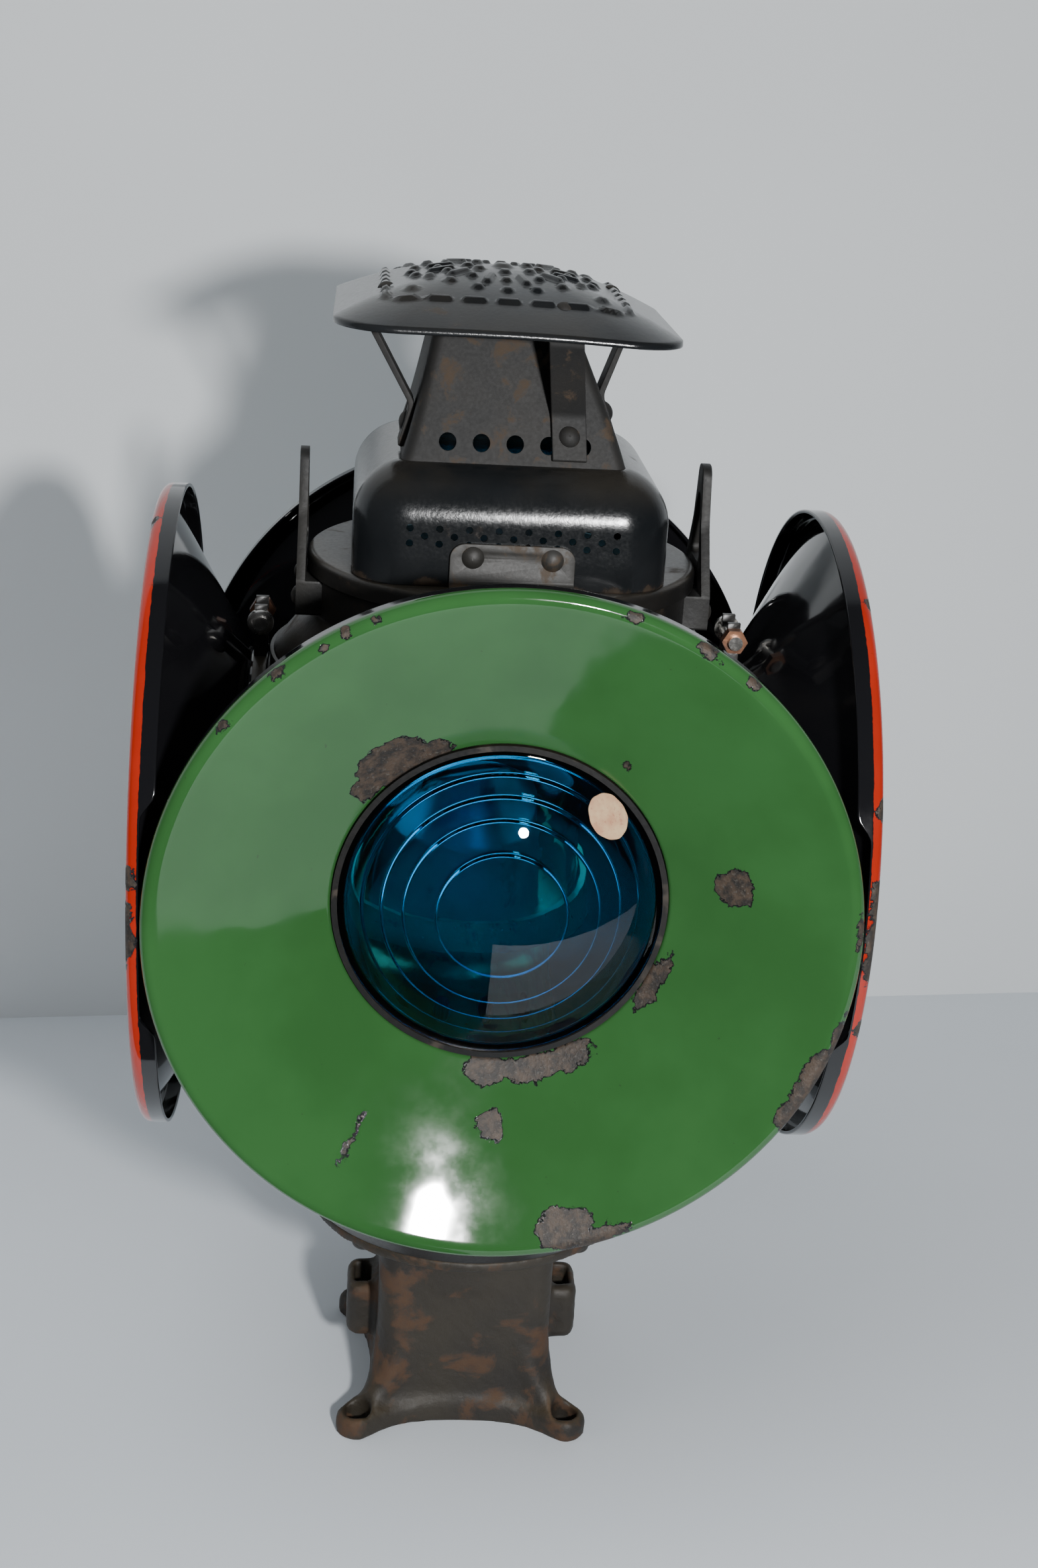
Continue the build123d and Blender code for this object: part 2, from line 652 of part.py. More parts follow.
def chimney():
    """Tapered square chimney with a row of draught holes in each face."""
    low = neck_z - neck_tuck
    ends = [(low, chimney_at(low), chimney_corner), (chimney_top, chimney_at(chimney_top), chimney_corner)]
    inner = [(low - 1, chimney_at(low - 1) - dome_sheet, chimney_corner - dome_sheet),
             (chimney_top + 1, chimney_at(chimney_top + 1) - dome_sheet, chimney_corner - dome_sheet)]
    walls = square_loft(ends) - square_loft(inner)
    cutters = []
    for n in range(5):
        x = (n - 2) * draught_pitch
        cutters.append(Pos(x, 0, neck_z + 6.5) * Rot(90, 0, 0) * Cylinder(draught_r, 4 * dome_half))
        cutters.append(Pos(0, x, neck_z + 6.5) * Rot(0, 90, 0) * Cylinder(draught_r, 4 * dome_half))
    walls -= cutters
    return walls - [strap_foot_place(n) * drill(strap_t + dome_sheet) for n in range(4)]


def cap_levels(inset):
    """Rounded squares of the cap: upright lip, then a crown that falls with the square of its width."""
    levels = [(cap_z, cap_half - inset, cap_corner - inset)]
    for share in cap_shares:
        z = cap_z + cap_lip + cap_crown * (1 - share**2) - inset
        half = min(cap_half * share, cap_half - inset)
        levels.append((z, half, min(cap_corner * share, cap_corner - inset)))
    return levels


def chimney_cap():
    """Pressed square cap over the chimney, open below."""
    inner = cap_levels(dome_sheet)
    inner[0] = (cap_z - 1, *inner[0][1:])
    cap = square_loft(cap_levels(0)) - square_loft(inner)
    return cap - [strap_top_place(n) * drill(strap_t + dome_sheet) for n in range(4)]


def cap_facet():
    """Ends of the facet of the cap's underside that the straps hold, from its outer end."""
    (z_out, half_out, _), (z_in, half_in, _) = cap_levels(dome_sheet)[cap_facet_at + 1:cap_facet_at + 3]
    return Vector(half_out, 0, z_out), Vector(half_in, 0, z_in)


def strap_foot_place(number):
    """Rivet place at the bottom of a strap, with +Z out of the chimney's face."""
    lean = math.degrees(math.atan(chimney_slope))
    level = neck_z + 10
    face = chimney_at(level) + strap_t * math.sqrt(1 + chimney_slope**2)
    return facing(number) * Pos(face, strap_off, level) * Rot(0, 90 - lean, 0)


def strap_top_place(number):
    """Rivet place through a strap's top tab and the cap, with +Z out of the cap."""
    outer, inner = cap_facet()
    run = inner - outer
    tilt = math.degrees(math.atan2(run.Z, -run.X))
    middle = (outer + inner) / 2 + Vector(run.Z, 0, -run.X).normalized() * cap_wall
    return facing(number) * Pos(middle.X, strap_off, middle.Z) * Rot(0, tilt, 0)


def cap_strap(number):
    """Strap up one face of the chimney, out to the cap and in along a tab under its crown."""
    half = strap_t / 2
    step = half * math.sqrt(1 + chimney_slope**2)
    low, bend = neck_z + 2, neck_z + 16
    outer, inner = cap_facet()
    under = Vector((inner - outer).Z, 0, (outer - inner).X).normalized() * (half + strap_fit)
    tab = [(p.X, p.Z) for p in (outer - under, inner - under)]
    line = [(chimney_at(low) + step, low), (chimney_at(bend) + step, bend),
            (cap_half - cap_room, cap_z - 1), *tab]
    strap = facing(number) * Pos(0, strap_off, 0) * bent_plate(line, strap_t, [6, 5, 2], strap_w)
    strap -= strap_foot_place(number) * drill(strap_t)
    return strap - strap_top_place(number) * drill(strap_t + dome_sheet)


# ---------------------------------------------------------------- fount and burner
def fount_seat():
    """Shallow ring on the pan that centres the fount."""
    low = ring(fount_r - 8, fount_r + 1.5, floor_z, floor_z + seat_h)
    return low + ring(fount_r + 0.3, fount_r + 1.5, floor_z, floor_z + seat_h + 4)


def fount_springs():
    """Three spring clips that stop the fount from shaking."""
    out = fount_r + 0.3 + 1.2
    foot = floor_z + seat_h + 4
    line = [(out + 0.3, floor_z), (out + 0.3, foot), (out + 4, foot + 12), (fount_r + 0.5, foot + 26),
            (fount_r + 4, foot + 34)]
    clip = bent_plate(line, 0.6, [3, 8, 4], 8)
    return joined([Rot(0, 0, 90 * n) * clip for n in range(3)])


def fount_tank():
    """Drawn oil tank, open at the top."""
    edge = fount_r - fount_sheet / 2
    level = fount_z + fount_sheet / 2
    return spun(sheet_section([(0, level), (edge, level), (edge, fount_top - 6)], fount_sheet, [4]))


def fount_cover():
    """Dished cover soldered into the tank, with the burner hole and the filler neck."""
    edge = fount_r - 1.5 * fount_sheet
    level = fount_top - fount_sheet / 2
    cover = spun(sheet_section([(collar_bore, level), (cover_flat, level), (edge, fount_top - 8),
                                (edge, fount_top - 12)], fount_sheet, [2, 3]))
    neck = ring(filler_bore, filler_r, fount_top - 2 * fount_sheet, fount_top + 6)
    hole = Pos(filler_at, 0, fount_top) * Cylinder(filler_bore, 20)
    return cover - hole + Pos(filler_at, 0, 0) * neck


def filler_cap():
    """Knurled screw cap on the filler neck."""
    low = fount_top + 1
    top = low + filler_cap_h
    cap = Pos(0, 0, (low + top) / 2) * Cylinder(filler_cap_r, top - low)
    cap -= Pos(0, 0, (low + top) / 2 - 2) * Cylinder(filler_r + thread_fit, top - low)
    grooves = [Rot(0, 0, 20 * n) * Pos(filler_cap_r + 0.5, 0, low) * Cylinder(1.0, 4 * filler_cap_h)
               for n in range(18)]
    return Pos(filler_at, 0, 0) * (cap - grooves)


def filler_washer():
    """Cork washer inside the filler cap, just above the neck."""
    top = fount_top + 1 + filler_cap_h - 2
    low = fount_top + 6 + 0.2
    return Pos(filler_at, 0, 0) * ring(1, filler_r - 0.2, low, top)


def burner_collar():
    """Threaded brass collar soldered in the fount's burner hole."""
    inner = collar_bore - 1.5
    return ring(inner, collar_bore, fount_top - 4, fount_top) + ring(inner, burner_r, fount_top, burner_z)


def burner_body():
    """Perforated burner body screwed on the collar, with bearings for the wick spindle."""
    wall = burner_r - 0.5
    line = [(tube_reach + 0.2, burner_z + 0.5), (wall, burner_z + 0.5), (wall, burner_z + burner_h - 4),
            (tube_reach + 0.7, burner_z + burner_h)]
    body = spun(sheet_section(line, 1.0, [0.6, 3]))
    vents = [Rot(0, 0, 15 + 30 * n) * Pos(wall, 0, burner_z + 15) * Rot(0, 90, 0) * Cylinder(1.5, 8)
             for n in range(12)]
    bearing = Pos(0, star_y, star_z) * Rot(0, 90, 0) * Cylinder(spindle_r + spindle_fit, 4 * burner_r)
    return body - vents - bearing


def wick_tube():
    """Flat tube that holds the wick, with a window for the star wheels and a disc in the collar."""
    x, y = wick_room
    low = burner_z - 4
    outer = block((-tube_half_x, tube_half_x), (-tube_half_y, tube_half_y), (low, tube_top))
    tube = outer - block((-x, x), (-y, y), (low - 1, tube_top + 1))
    tube -= block((-5.5, 5.5), (-y - 2, 0), (star_z - 6, star_z + 6))
    disc = Pos(0, 0, burner_z - 0.5) * Cylinder(collar_bore - 1.7, 1) - outer
    return tube + disc


def wick():
    """Flat woven wick, down into the oil."""
    return block((-wick_w / 2, wick_w / 2), (-wick_t / 2, wick_t / 2), (fount_z + 14, tube_top + wick_show))


def wick_spindle():
    """Spindle that turns the star wheels, from bearing to bearing and out to the knob."""
    far = burner_r + 1
    middle = (far + spindle_end) / 2
    return Pos(middle, star_y, star_z) * Rot(0, 90, 0) * Cylinder(spindle_r, far - spindle_end)


def star_wheels():
    """Two toothed wheels on the spindle that lift the wick."""
    teeth = 10
    wheel = Cylinder(star_r, 1.2) - Cylinder(spindle_r, 4)
    wheel -= [Rot(0, 0, 360 * n / teeth) * Pos(star_r + 0.3, 0, 0) * Cylinder(1.0, 4) for n in range(teeth)]
    return joined([Pos(x, star_y, star_z) * Rot(0, 90, 0) * wheel for x in (-3.2, 3.2)])


def wick_knob():
    """Milled knob on the spindle's outer end."""
    knob = Cylinder(knob_r, knob_t) - Cylinder(spindle_r, 2 * knob_t)
    knob -= [Rot(0, 0, 15 * n) * Pos(knob_r + 0.4, 0, 0) * Cylinder(0.8, 2 * knob_t) for n in range(24)]
    return Pos(spindle_end + knob_t / 2, star_y, star_z) * Rot(0, 90, 0) * knob


def flame_cone():
    """Draught cone over the wick tube, with a slot for the flame."""
    wide = tube_reach + 4
    cone = spun(sheet_section([(wide, shelf_z), (wide, tube_top - 6), (wide - 6, tube_top + 4),
                               (0, tube_top + 4)], 0.8, [2, 2]))
    return cone - block((-wick_w / 2 - 1, wick_w / 2 + 1), (-3, 3), (tube_top, tube_top + 12))


def burner_gallery():
    """Ring on the burner that carries the cone and the glass chimney."""
    outer = glass_chimney_r + 2.5
    return ring(tube_reach + 0.4, outer, gallery_z, shelf_z) + ring(outer - 1, outer, gallery_z, shelf_z + 4)


def glass_chimney():
    """Small glass chimney round the flame."""
    wall = 1.6
    foot = glass_chimney_r + 1.2 - wall / 2
    neck = foot - 6
    top = shelf_z + glass_chimney_h
    return spun(sheet_section([(foot, shelf_z), (foot, shelf_z + 14), (foot + 3, shelf_z + 26),
                               (neck, top - 14), (neck, top)], wall, [10, 12, 12]))


# ---------------------------------------------------------------- fasteners
def base_bolts():
    """Four screws from below the flange up through the pan."""
    length = flange_t + sheet + 5.5
    low = base_h - flange_t
    return joined([Rot(0, 0, 45 + 90 * n) * Pos(bolt_circle, 0, low) * Rot(180, 0, 0)
                   * screw(base_bolt_r, length, base_head_r, 3) for n in range(4)])


def base_nuts():
    """Nuts on the base screws, inside the pan."""
    return joined([Rot(0, 0, 45 + 90 * n) * Pos(bolt_circle, 0, floor_z + 4) * nut(base_bolt_r, 8, 4)
                   for n in range(4)])


def hood_rivets():
    """Rivets of the hinge leaf and the latch tongue on the dome's wall."""
    return joined([facing(side) * place * rivet(hinge_t + dome_sheet)
                   for side, spread in hood_fittings for place in hood_rivet_places(spread)])


def strap_rivets():
    """Rivets of the four straps, at the chimney and at the cap."""
    low = [strap_foot_place(n) * rivet(strap_t + dome_sheet + neck_fit, 3.5) for n in range(4)]
    high = [strap_top_place(n) * rivet(strap_t + strap_fit + cap_wall, 2.8) for n in range(4)]
    return joined(low + high)


# ---------------------------------------------------------------- all nodes
def all_nodes():
    """Every node of the lamp by name."""
    nodes = {
        "base_casting": base_casting(),
        "base_bolts": base_bolts(),
        "base_nuts": base_nuts(),
        "body_pan": body_pan(),
        "body_shell": body_shell(),
        "body_shoulder": body_shoulder(),
        "top_ring": top_ring(),
        "clamp_bolts": joined([on_side(n) * clamp_bolt() for n in range(4)]),
        "clamp_nuts": joined([on_side(n) * clamp_nut() for n in range(4)]),
        "lifting_ear_right": facing(1) * lifting_ear(),
        "lifting_ear_left": facing(3) * lifting_ear(),
        "collar_rivets": collar_rivets(),
        "hinge_leaf_body": facing(0) * hinge_leaf_body(),
        "hinge_leaf_hood": facing(0) * hinge_leaf_hood(),
        "hinge_pin": facing(0) * hinge_pin(),
        "hood_rivets": hood_rivets(),
        "latch_keeper": facing(2) * latch_keeper(),
        "latch_tongue": facing(2) * latch_tongue(),
        "ventilator_dome": ventilator_dome(),
        "chimney": chimney(),
        "chimney_cap": chimney_cap(),
        "strap_rivets": strap_rivets(),
        "fount_seat": fount_seat(),
        "fount_springs": fount_springs(),
        "fount_tank": fount_tank(),
        "fount_cover": fount_cover(),
        "filler_cap": filler_cap(),
        "filler_washer": filler_washer(),
        "burner_collar": burner_collar(),
        "burner_body": burner_body(),
        "burner_gallery": burner_gallery(),
        "wick_tube": wick_tube(),
        "wick": wick(),
        "wick_spindle": wick_spindle(),
        "star_wheels": star_wheels(),
        "wick_knob": wick_knob(),
        "flame_cone": flame_cone(),
        "glass_chimney": glass_chimney(),
    }
    side_parts = {"lens_barrel": lens_barrel(), "lens": lens(), "lens_seal": lens_seal(),
                  "lens_retainer": lens_retainer(), "day_target": day_target(), "clamp_band": clamp_band()}
    grouped = ("lens_seal", "lens_retainer", "clamp_band")
    for name, part in side_parts.items():
        placed = [on_side(n) * part for n in range(4)]
        if name in grouped:
            nodes[name + "s"] = joined(placed)
            continue
        nodes.update({f"{name}_{side}": placed[n] for n, side in enumerate(sides)})
    nodes.update({f"cap_strap_{side}": cap_strap(n) for n, side in enumerate(sides)})
    return nodes


os.makedirs("parts", exist_ok=True)
for node, shape in all_nodes().items():
    export_step(shape, f"parts/{node}.step")
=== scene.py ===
import json
import math

import bpy
import numpy as np
from bpy.props import FloatProperty, FloatVectorProperty, PointerProperty
from mathutils import Matrix, Vector

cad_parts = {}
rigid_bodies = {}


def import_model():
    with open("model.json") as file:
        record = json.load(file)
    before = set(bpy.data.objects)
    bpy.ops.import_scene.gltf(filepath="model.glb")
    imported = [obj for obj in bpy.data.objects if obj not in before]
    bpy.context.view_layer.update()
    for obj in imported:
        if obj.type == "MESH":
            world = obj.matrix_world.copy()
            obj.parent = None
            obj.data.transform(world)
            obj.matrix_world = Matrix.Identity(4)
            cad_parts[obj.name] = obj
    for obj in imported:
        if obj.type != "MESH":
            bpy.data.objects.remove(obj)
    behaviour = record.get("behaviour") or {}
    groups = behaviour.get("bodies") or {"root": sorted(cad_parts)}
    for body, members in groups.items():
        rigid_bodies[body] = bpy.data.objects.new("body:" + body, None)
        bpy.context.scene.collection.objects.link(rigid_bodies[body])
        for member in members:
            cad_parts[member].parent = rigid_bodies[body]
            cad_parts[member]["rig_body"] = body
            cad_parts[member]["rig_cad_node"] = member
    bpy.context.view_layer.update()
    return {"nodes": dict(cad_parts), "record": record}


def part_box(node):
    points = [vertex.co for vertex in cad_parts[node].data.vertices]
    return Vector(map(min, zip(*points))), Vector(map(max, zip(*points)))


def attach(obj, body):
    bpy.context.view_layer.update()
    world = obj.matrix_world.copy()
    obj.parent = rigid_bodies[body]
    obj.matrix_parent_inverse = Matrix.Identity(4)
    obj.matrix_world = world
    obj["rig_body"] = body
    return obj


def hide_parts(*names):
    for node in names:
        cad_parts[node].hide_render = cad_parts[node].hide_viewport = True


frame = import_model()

bl_info = {
    "name": "Switch-stand lamp",
    "version": (1, 0, 0),
    "blender": (4, 5, 0),
    "location": "View3D > Sidebar > Lamp",
    "description": "Surfaces and finishes of a four-lens railway switch-stand lamp",
    "category": "Object",
}

# All lengths are metres; MM turns a maker's millimetres into them.
MM = 0.001
SIDES = ("front", "right", "back", "left")

# ------------------------------------------------------------------ sizes read from the frame
target_low, target_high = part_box("day_target_front")
lens_low, lens_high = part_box("lens_front")
barrel_low, barrel_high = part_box("lens_barrel_front")
dome_low, dome_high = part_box("ventilator_dome")
chimney_low, chimney_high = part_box("chimney")
cap_low, cap_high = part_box("chimney_cap")
ring_low, ring_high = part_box("top_ring")
shoulder_low, shoulder_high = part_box("body_shoulder")
shell_low, shell_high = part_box("body_shell")
base_low, base_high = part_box("base_casting")
bolts_low, bolts_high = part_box("base_bolts")

LENS_Z = (target_low.z + target_high.z) / 2
TARGET_R = (target_high.x - target_low.x) / 2
TARGET_PLANE = -target_low.y
TARGET_BACK = -target_high.y
BARREL_R = (barrel_high.x - barrel_low.x) / 2
BARREL_FRONT = -barrel_low.y
LENS_RIM_R = (lens_high.x - lens_low.x) / 2
LENS_CROWN = -lens_low.y
SEAT_Z = dome_low.z
DOME_HALF = dome_high.x
NECK_Z = dome_high.z
CHIMNEY_TOP = chimney_high.z
CAP_Z = cap_low.z
CAP_TOP = cap_high.z
CAP_HALF = cap_high.x
CHIMNEY_SLOPE = 12.5 / 39       # how far each face leans in for its height
LENS_LIP = 1.9 * MM             # width of the flat edge round a lens's crown
LENS_SEAT = BARREL_FRONT - 1.2 * MM
SQUEEZE = 0.6 * MM              # room left between neighbouring targets
RING_R = ring_high.x
BODY_R = shell_high.x


def slot_of(node):
    """Material slot of a node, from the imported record."""
    rows = frame["record"]["subparts"]
    return next(row["material_slot"] for row in rows if row["node"] == node)


def body_of(node):
    """Body that a node rides on."""
    return frame["nodes"][node]["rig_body"]


def length(name, description, millimetres):
    """Setting that holds a length."""
    return FloatProperty(name=name, description=description, default=millimetres * MM, unit="LENGTH")


def tint(name, description, colour):
    """Setting that holds a colour."""
    return FloatVectorProperty(name=name, description=description, default=colour, subtype="COLOR",
                               min=0, max=1)


class LampSizes(bpy.types.PropertyGroup):
    """Sizes of the sheet work that a maker would change."""

    target_sheet: length("Target sheet", "Thickness of a day target's enamelled sheet", 1.4)
    rim_roll: length("Rim roll", "Middle radius of a day target's rolled rim", 3.0)
    rim_skirt: length("Rim skirt", "Depth of a day target's rolled rim", 8.5)
    rim_cut: length("Rim cut", "Half height over which the rim is cut back beside its neighbour", 34)
    dome_corner: length("Dome corner", "Corner radius of the ventilator dome's wall", 17)
    dome_wall: length("Dome wall", "Upright part of the ventilator dome", 20)
    hood_sheet: length("Hood sheet", "Thickness of the hood's sheet", 1.0)
    relief: length("Cap relief", "Height of the pips and bars pressed in the cap", 1.3)


class LampColours(bpy.types.PropertyGroup):
    """Colours of the enamel and glass."""

    green: tint("Green enamel", "Front and back day targets", (0.024, 0.090, 0.023))
    red: tint("Red enamel", "Left and right day targets", (0.330, 0.016, 0.005))
    glass: tint("Lens glass", "Colour of light that passes one face of a lens", (0.004, 0.330, 0.680))


# ------------------------------------------------------------------ lines and sections
def unit(v):
    """Each vector along the last axis, scaled to length one."""
    return v / np.maximum(np.linalg.norm(v, axis=-1, keepdims=True), 1e-12)


def smooth(x):
    """Smooth step from 0 to 1: three x squared less two x cubed."""
    x = np.clip(x, 0, 1)
    return x * x * (3 - 2 * x)


def rounded_path(corners, radii, closed=True, steps=6, hold=0.3 * MM):
    """Line through corners, each rounded by the arc that touches both sides.

    The arc's centre lies on the corner's bisector, its radius over the sine of half the angle away.
    A point a little way along each side holds the straights flat."""
    p = np.asarray(corners, float)
    back, on = np.roll(p, 1, 0) - p, np.roll(p, -1, 0) - p
    room = 0.49 * np.minimum(np.linalg.norm(back, axis=1), np.linalg.norm(on, axis=1))
    back, on = unit(back), unit(on)
    half = np.arccos(np.clip((back * on).sum(1), -1, 1)) / 2
    touch = np.minimum(np.broadcast_to(radii, len(p)) / np.tan(half), room)
    radius = touch * np.tan(half)
    centre = p + unit(back + on) * (radius / np.sin(half))[:, None]
    first = p + back * touch[:, None] - centre
    last = p + on * touch[:, None] - centre
    sweep = np.maximum(np.pi - 2 * half, 1e-9)[:, None, None]
    t = np.linspace(0, 1, steps + 1)[None, :, None]
    turned = np.sin((1 - t) * sweep) * first[:, None] + np.sin(t * sweep) * last[:, None]
    arcs = centre[:, None] + turned / np.sin(sweep)
    gap = np.minimum(touch + hold, room)[:, None]
    line = np.concatenate([(p + back * gap)[:, None], arcs, (p + on * gap)[:, None]], 1)
    if not closed:
        line[0], line[-1] = p[0], p[-1]
    line = line.reshape(-1, p.shape[1])
    apart = np.linalg.norm(line - np.roll(line, 1, 0), axis=1) > 1e-7
    apart[0] = apart[0] or not closed
    return line[apart]


def sheet_loop(line, wall, bends, edge=0.4):
    """Closed section of bent sheet round a middle line: up its right side and back down its left.

    Each side is the middle line moved half the wall along the mean normal; bends are middle radii."""
    p = np.asarray(line, float)
    way = unit(np.diff(p, axis=0))
    normal = np.stack([-way[:, 1], way[:, 0]], 1)
    before, after = np.vstack([normal[:1], normal]), np.vstack([normal, normal[-1:]])
    reach = (before + after) * (wall / 2 / (1 + (before * after).sum(1)))[:, None]
    turn = np.sign(way[:-1, 0] * way[1:, 1] - way[:-1, 1] * way[1:, 0]) * wall / 2
    bends = np.asarray(bends, float)
    end = [edge * wall]
    right = np.concatenate([end, np.maximum(bends + turn, 0.05 * MM), end])
    left = np.concatenate([end, np.maximum(bends - turn, 0.05 * MM), end])
    corners = np.vstack([p - reach, (p + reach)[::-1]])
    return rounded_path(corners, np.concatenate([right, left[::-1]]))


def densed(loop, spacing):
    """The closed loop with points added evenly along each stretch longer than the spacing."""
    on = np.roll(loop, -1, 0) - loop
    counts = np.maximum(np.ceil(np.linalg.norm(on, axis=1) / spacing), 1).astype(int)
    place = np.repeat(np.arange(len(loop)), counts)
    share = (np.arange(counts.sum()) - np.repeat(np.cumsum(counts) - counts, counts)) / counts[place]
    return loop[place] + on[place] * share[:, None]


# ------------------------------------------------------------------ surfaces
def quads(rows, cols, wrap_rows):
    """Quads of a grid of points that joins up along its columns, and along its rows if told."""
    i = np.arange(rows if wrap_rows else rows - 1)[:, None]
    k = np.arange(cols)[None, :]
    on, over = (i + 1) % rows, (k + 1) % cols
    return np.stack([i * cols + k, i * cols + over, on * cols + over, on * cols + k], -1).reshape(-1, 4)


def skin(grid, wrap=True):
    """Points and faces of a grid of rows round an axis.

    With wrap the last row joins the first. Without it the end rows are single points."""
    rows, cols = grid.shape[:2]
    if wrap:
        return grid.reshape(-1, 3), [quads(rows, cols, True)]
    points = np.vstack([grid[1:-1].reshape(-1, 3), grid[0].mean(0), grid[-1].mean(0)])
    k, over = np.arange(cols), (np.arange(cols) + 1) % cols
    last = (rows - 3) * cols
    start = np.stack([np.full(cols, (rows - 2) * cols), over, k], 1)
    end = np.stack([np.full(cols, (rows - 2) * cols + 1), last + k, last + over], 1)
    return points, [quads(rows - 2, cols, False), start, end]


def spun(section, steps=192):
    """Grid of a section of (radius, height) points turned about Z."""
    turn = np.linspace(0, 2 * np.pi, steps, endpoint=False)
    r, z = section[:, :1], section[:, 1:]
    return np.stack([r * np.cos(turn), r * np.sin(turn), np.broadcast_to(z, (len(r), steps))], -1)


def square_pattern(per_side, per_corner):
    """Shape of a rounded square: at each step the corner centre's place and the way out from it.

    A point is (half - corner) times the place, plus corner times the way."""
    along = np.linspace(-1, 1, per_side, endpoint=False)
    swing = np.linspace(0, np.pi / 2, per_corner, endpoint=False)
    one_side = np.stack([np.ones_like(along), along], 1)
    place = np.vstack([one_side, np.ones((per_corner, 2))])
    way = np.vstack([np.tile([1.0, 0.0], (per_side, 1)), np.stack([np.cos(swing), np.sin(swing)], 1)])
    quarter = np.array([[0.0, 1.0], [-1.0, 0.0]])
    turns = [np.linalg.matrix_power(quarter, n) for n in range(4)]
    return np.vstack([place @ t for t in turns]), np.vstack([way @ t for t in turns])


def square_stack(levels, per_side=28, per_corner=12):
    """Grid of rounded squares, one for each row of (height, half width, corner radius)."""
    place, way = square_pattern(per_side, per_corner)
    z, half, corner = (column[:, None] for column in np.asarray(levels, float).T)
    flat = (half - corner)[..., None] * place + corner[..., None] * way
    return np.concatenate([flat, np.broadcast_to(z[..., None], (*flat.shape[:2], 1))], -1)


def on_side(points, number):
    """Points as (right, up, outwards) about a lens axis, turned to a side of the lamp."""
    u, v, h = np.moveaxis(points, -1, 0)
    c, s = round(math.cos(number * math.pi / 2)), round(math.sin(number * math.pi / 2))
    return np.stack([c * u + s * h, s * u - c * h, LENS_Z + v], -1)


def facing(points, number):
    """Points drawn towards the front, -Y, turned to a side of the lamp."""
    x, y, z = np.moveaxis(points, -1, 0)
    c, s = round(math.cos(number * math.pi / 2)), round(math.sin(number * math.pi / 2))
    return np.stack([c * x - s * y, s * x + c * y, z], -1)


def bent_strip(line, wall, bends, width, edge=0.3 * MM):
    """Points and faces of a strip: the section of a bent line, carried across its width along X.

    The section shrinks by the edge at both ends, along an arc, so that no edge is sharp."""
    loop = sheet_loop(line, wall, bends)
    inward = unit(np.roll(loop, -1, 0) - np.roll(loop, 1, 0)) @ np.array([[0.0, 1.0], [-1.0, 0.0]])
    swing = np.linspace(0, np.pi / 2, 4)
    start = np.append(edge * (1 - np.cos(swing)), 2 * edge)
    shrink = np.append(edge * (1 - np.sin(swing)), 0)
    across = np.concatenate([start - width / 2, width / 2 - start[::-1]])
    shrink = np.concatenate([shrink, shrink[::-1]])
    grid = loop[None] + inward[None] * shrink[:, None, None]
    x = np.broadcast_to(across[:, None, None], (*grid.shape[:2], 1))
    points = np.concatenate([x, grid], -1)
    n = len(loop)
    ends = [np.arange(n)[::-1][None], (len(across) - 1) * n + np.arange(n)[None]]
    return points.reshape(-1, 3), [quads(len(across), n, False), *ends]


# ------------------------------------------------------------------ cast forms
def soft_min(a, b, k):
    """The lesser of two distances, with a fillet about as wide as k where they meet."""
    h = np.clip(0.5 + 0.5 * (b - a) / k, 0, 1)
    return b + (a - b) * h - k * h * (1 - h)


def soft_max(a, b, k):
    """The greater of two distances, with a rounded edge about as wide as k."""
    return -soft_min(-a, -b, k)


def square_distance(x, y, half_x, half_y, corner):
    """Distance in plan from a rounded rectangle, negative inside."""
    qx, qy = np.abs(x) - half_x + corner, np.abs(y) - half_y + corner
    return np.hypot(np.maximum(qx, 0), np.maximum(qy, 0)) + np.minimum(np.maximum(qx, qy), 0) - corner


def net(field, low, pitch):
    """Closed surface where a field on a grid is zero, negative inside.

    Each cell that the surface crosses gets one point, the mean of the crossings on its edges, and each
    crossed grid edge gets a quad between its four cells."""
    shape = np.array(field.shape) - 1
    total, count, edges = np.zeros((*shape, 3)), np.zeros(shape), []
    for axis in range(3):
        a = np.take(field, range(field.shape[axis] - 1), axis)
        b = np.take(field, range(1, field.shape[axis]), axis)
        at = np.argwhere((a < 0) != (b < 0))
        va, vb = a[tuple(at.T)], b[tuple(at.T)]
        spot = at.astype(float)
        spot[:, axis] += va / (va - vb)
        one, two = (axis + 1) % 3, (axis + 2) % 3
        cells = []
        for d1, d2 in ((0, 0), (1, 0), (1, 1), (0, 1)):
            cell = at.copy()
            cell[:, one] -= d1
            cell[:, two] -= d2
            np.add.at(total, tuple(cell.T), spot)
            np.add.at(count, tuple(cell.T), 1)
            cells.append(np.ravel_multi_index(tuple(cell.T), shape))
        ring = np.stack(cells, 1)
        ring[va > 0] = ring[va > 0][:, ::-1]
        edges.append(ring)
    used = np.flatnonzero(count.ravel())
    number = np.full(count.size, -1)
    number[used] = np.arange(len(used))
    points = np.array(low) + total.reshape(-1, 3)[used] / count.ravel()[used][:, None] * pitch
    return points, [number[np.vstack(edges)]]


# ------------------------------------------------------------------ objects
def new_mesh(name, points, faces):
    """Mesh from an array of points and arrays of faces."""
    mesh = bpy.data.meshes.new(name)
    mesh.vertices.add(len(points))
    mesh.vertices.foreach_set("co", np.asarray(points, np.float32).ravel())
    sizes = np.concatenate([np.full(len(f), f.shape[1]) for f in faces])
    corners = np.concatenate([f.ravel() for f in faces])
    mesh.loops.add(len(corners))
    mesh.loops.foreach_set("vertex_index", corners.astype(np.int32))
    mesh.polygons.add(len(sizes))
    mesh.polygons.foreach_set("loop_start", (np.cumsum(sizes) - sizes).astype(np.int32))
    mesh.polygons.foreach_set("use_smooth", np.ones(len(sizes), bool))
    mesh.update(calc_edges=True)
    return mesh


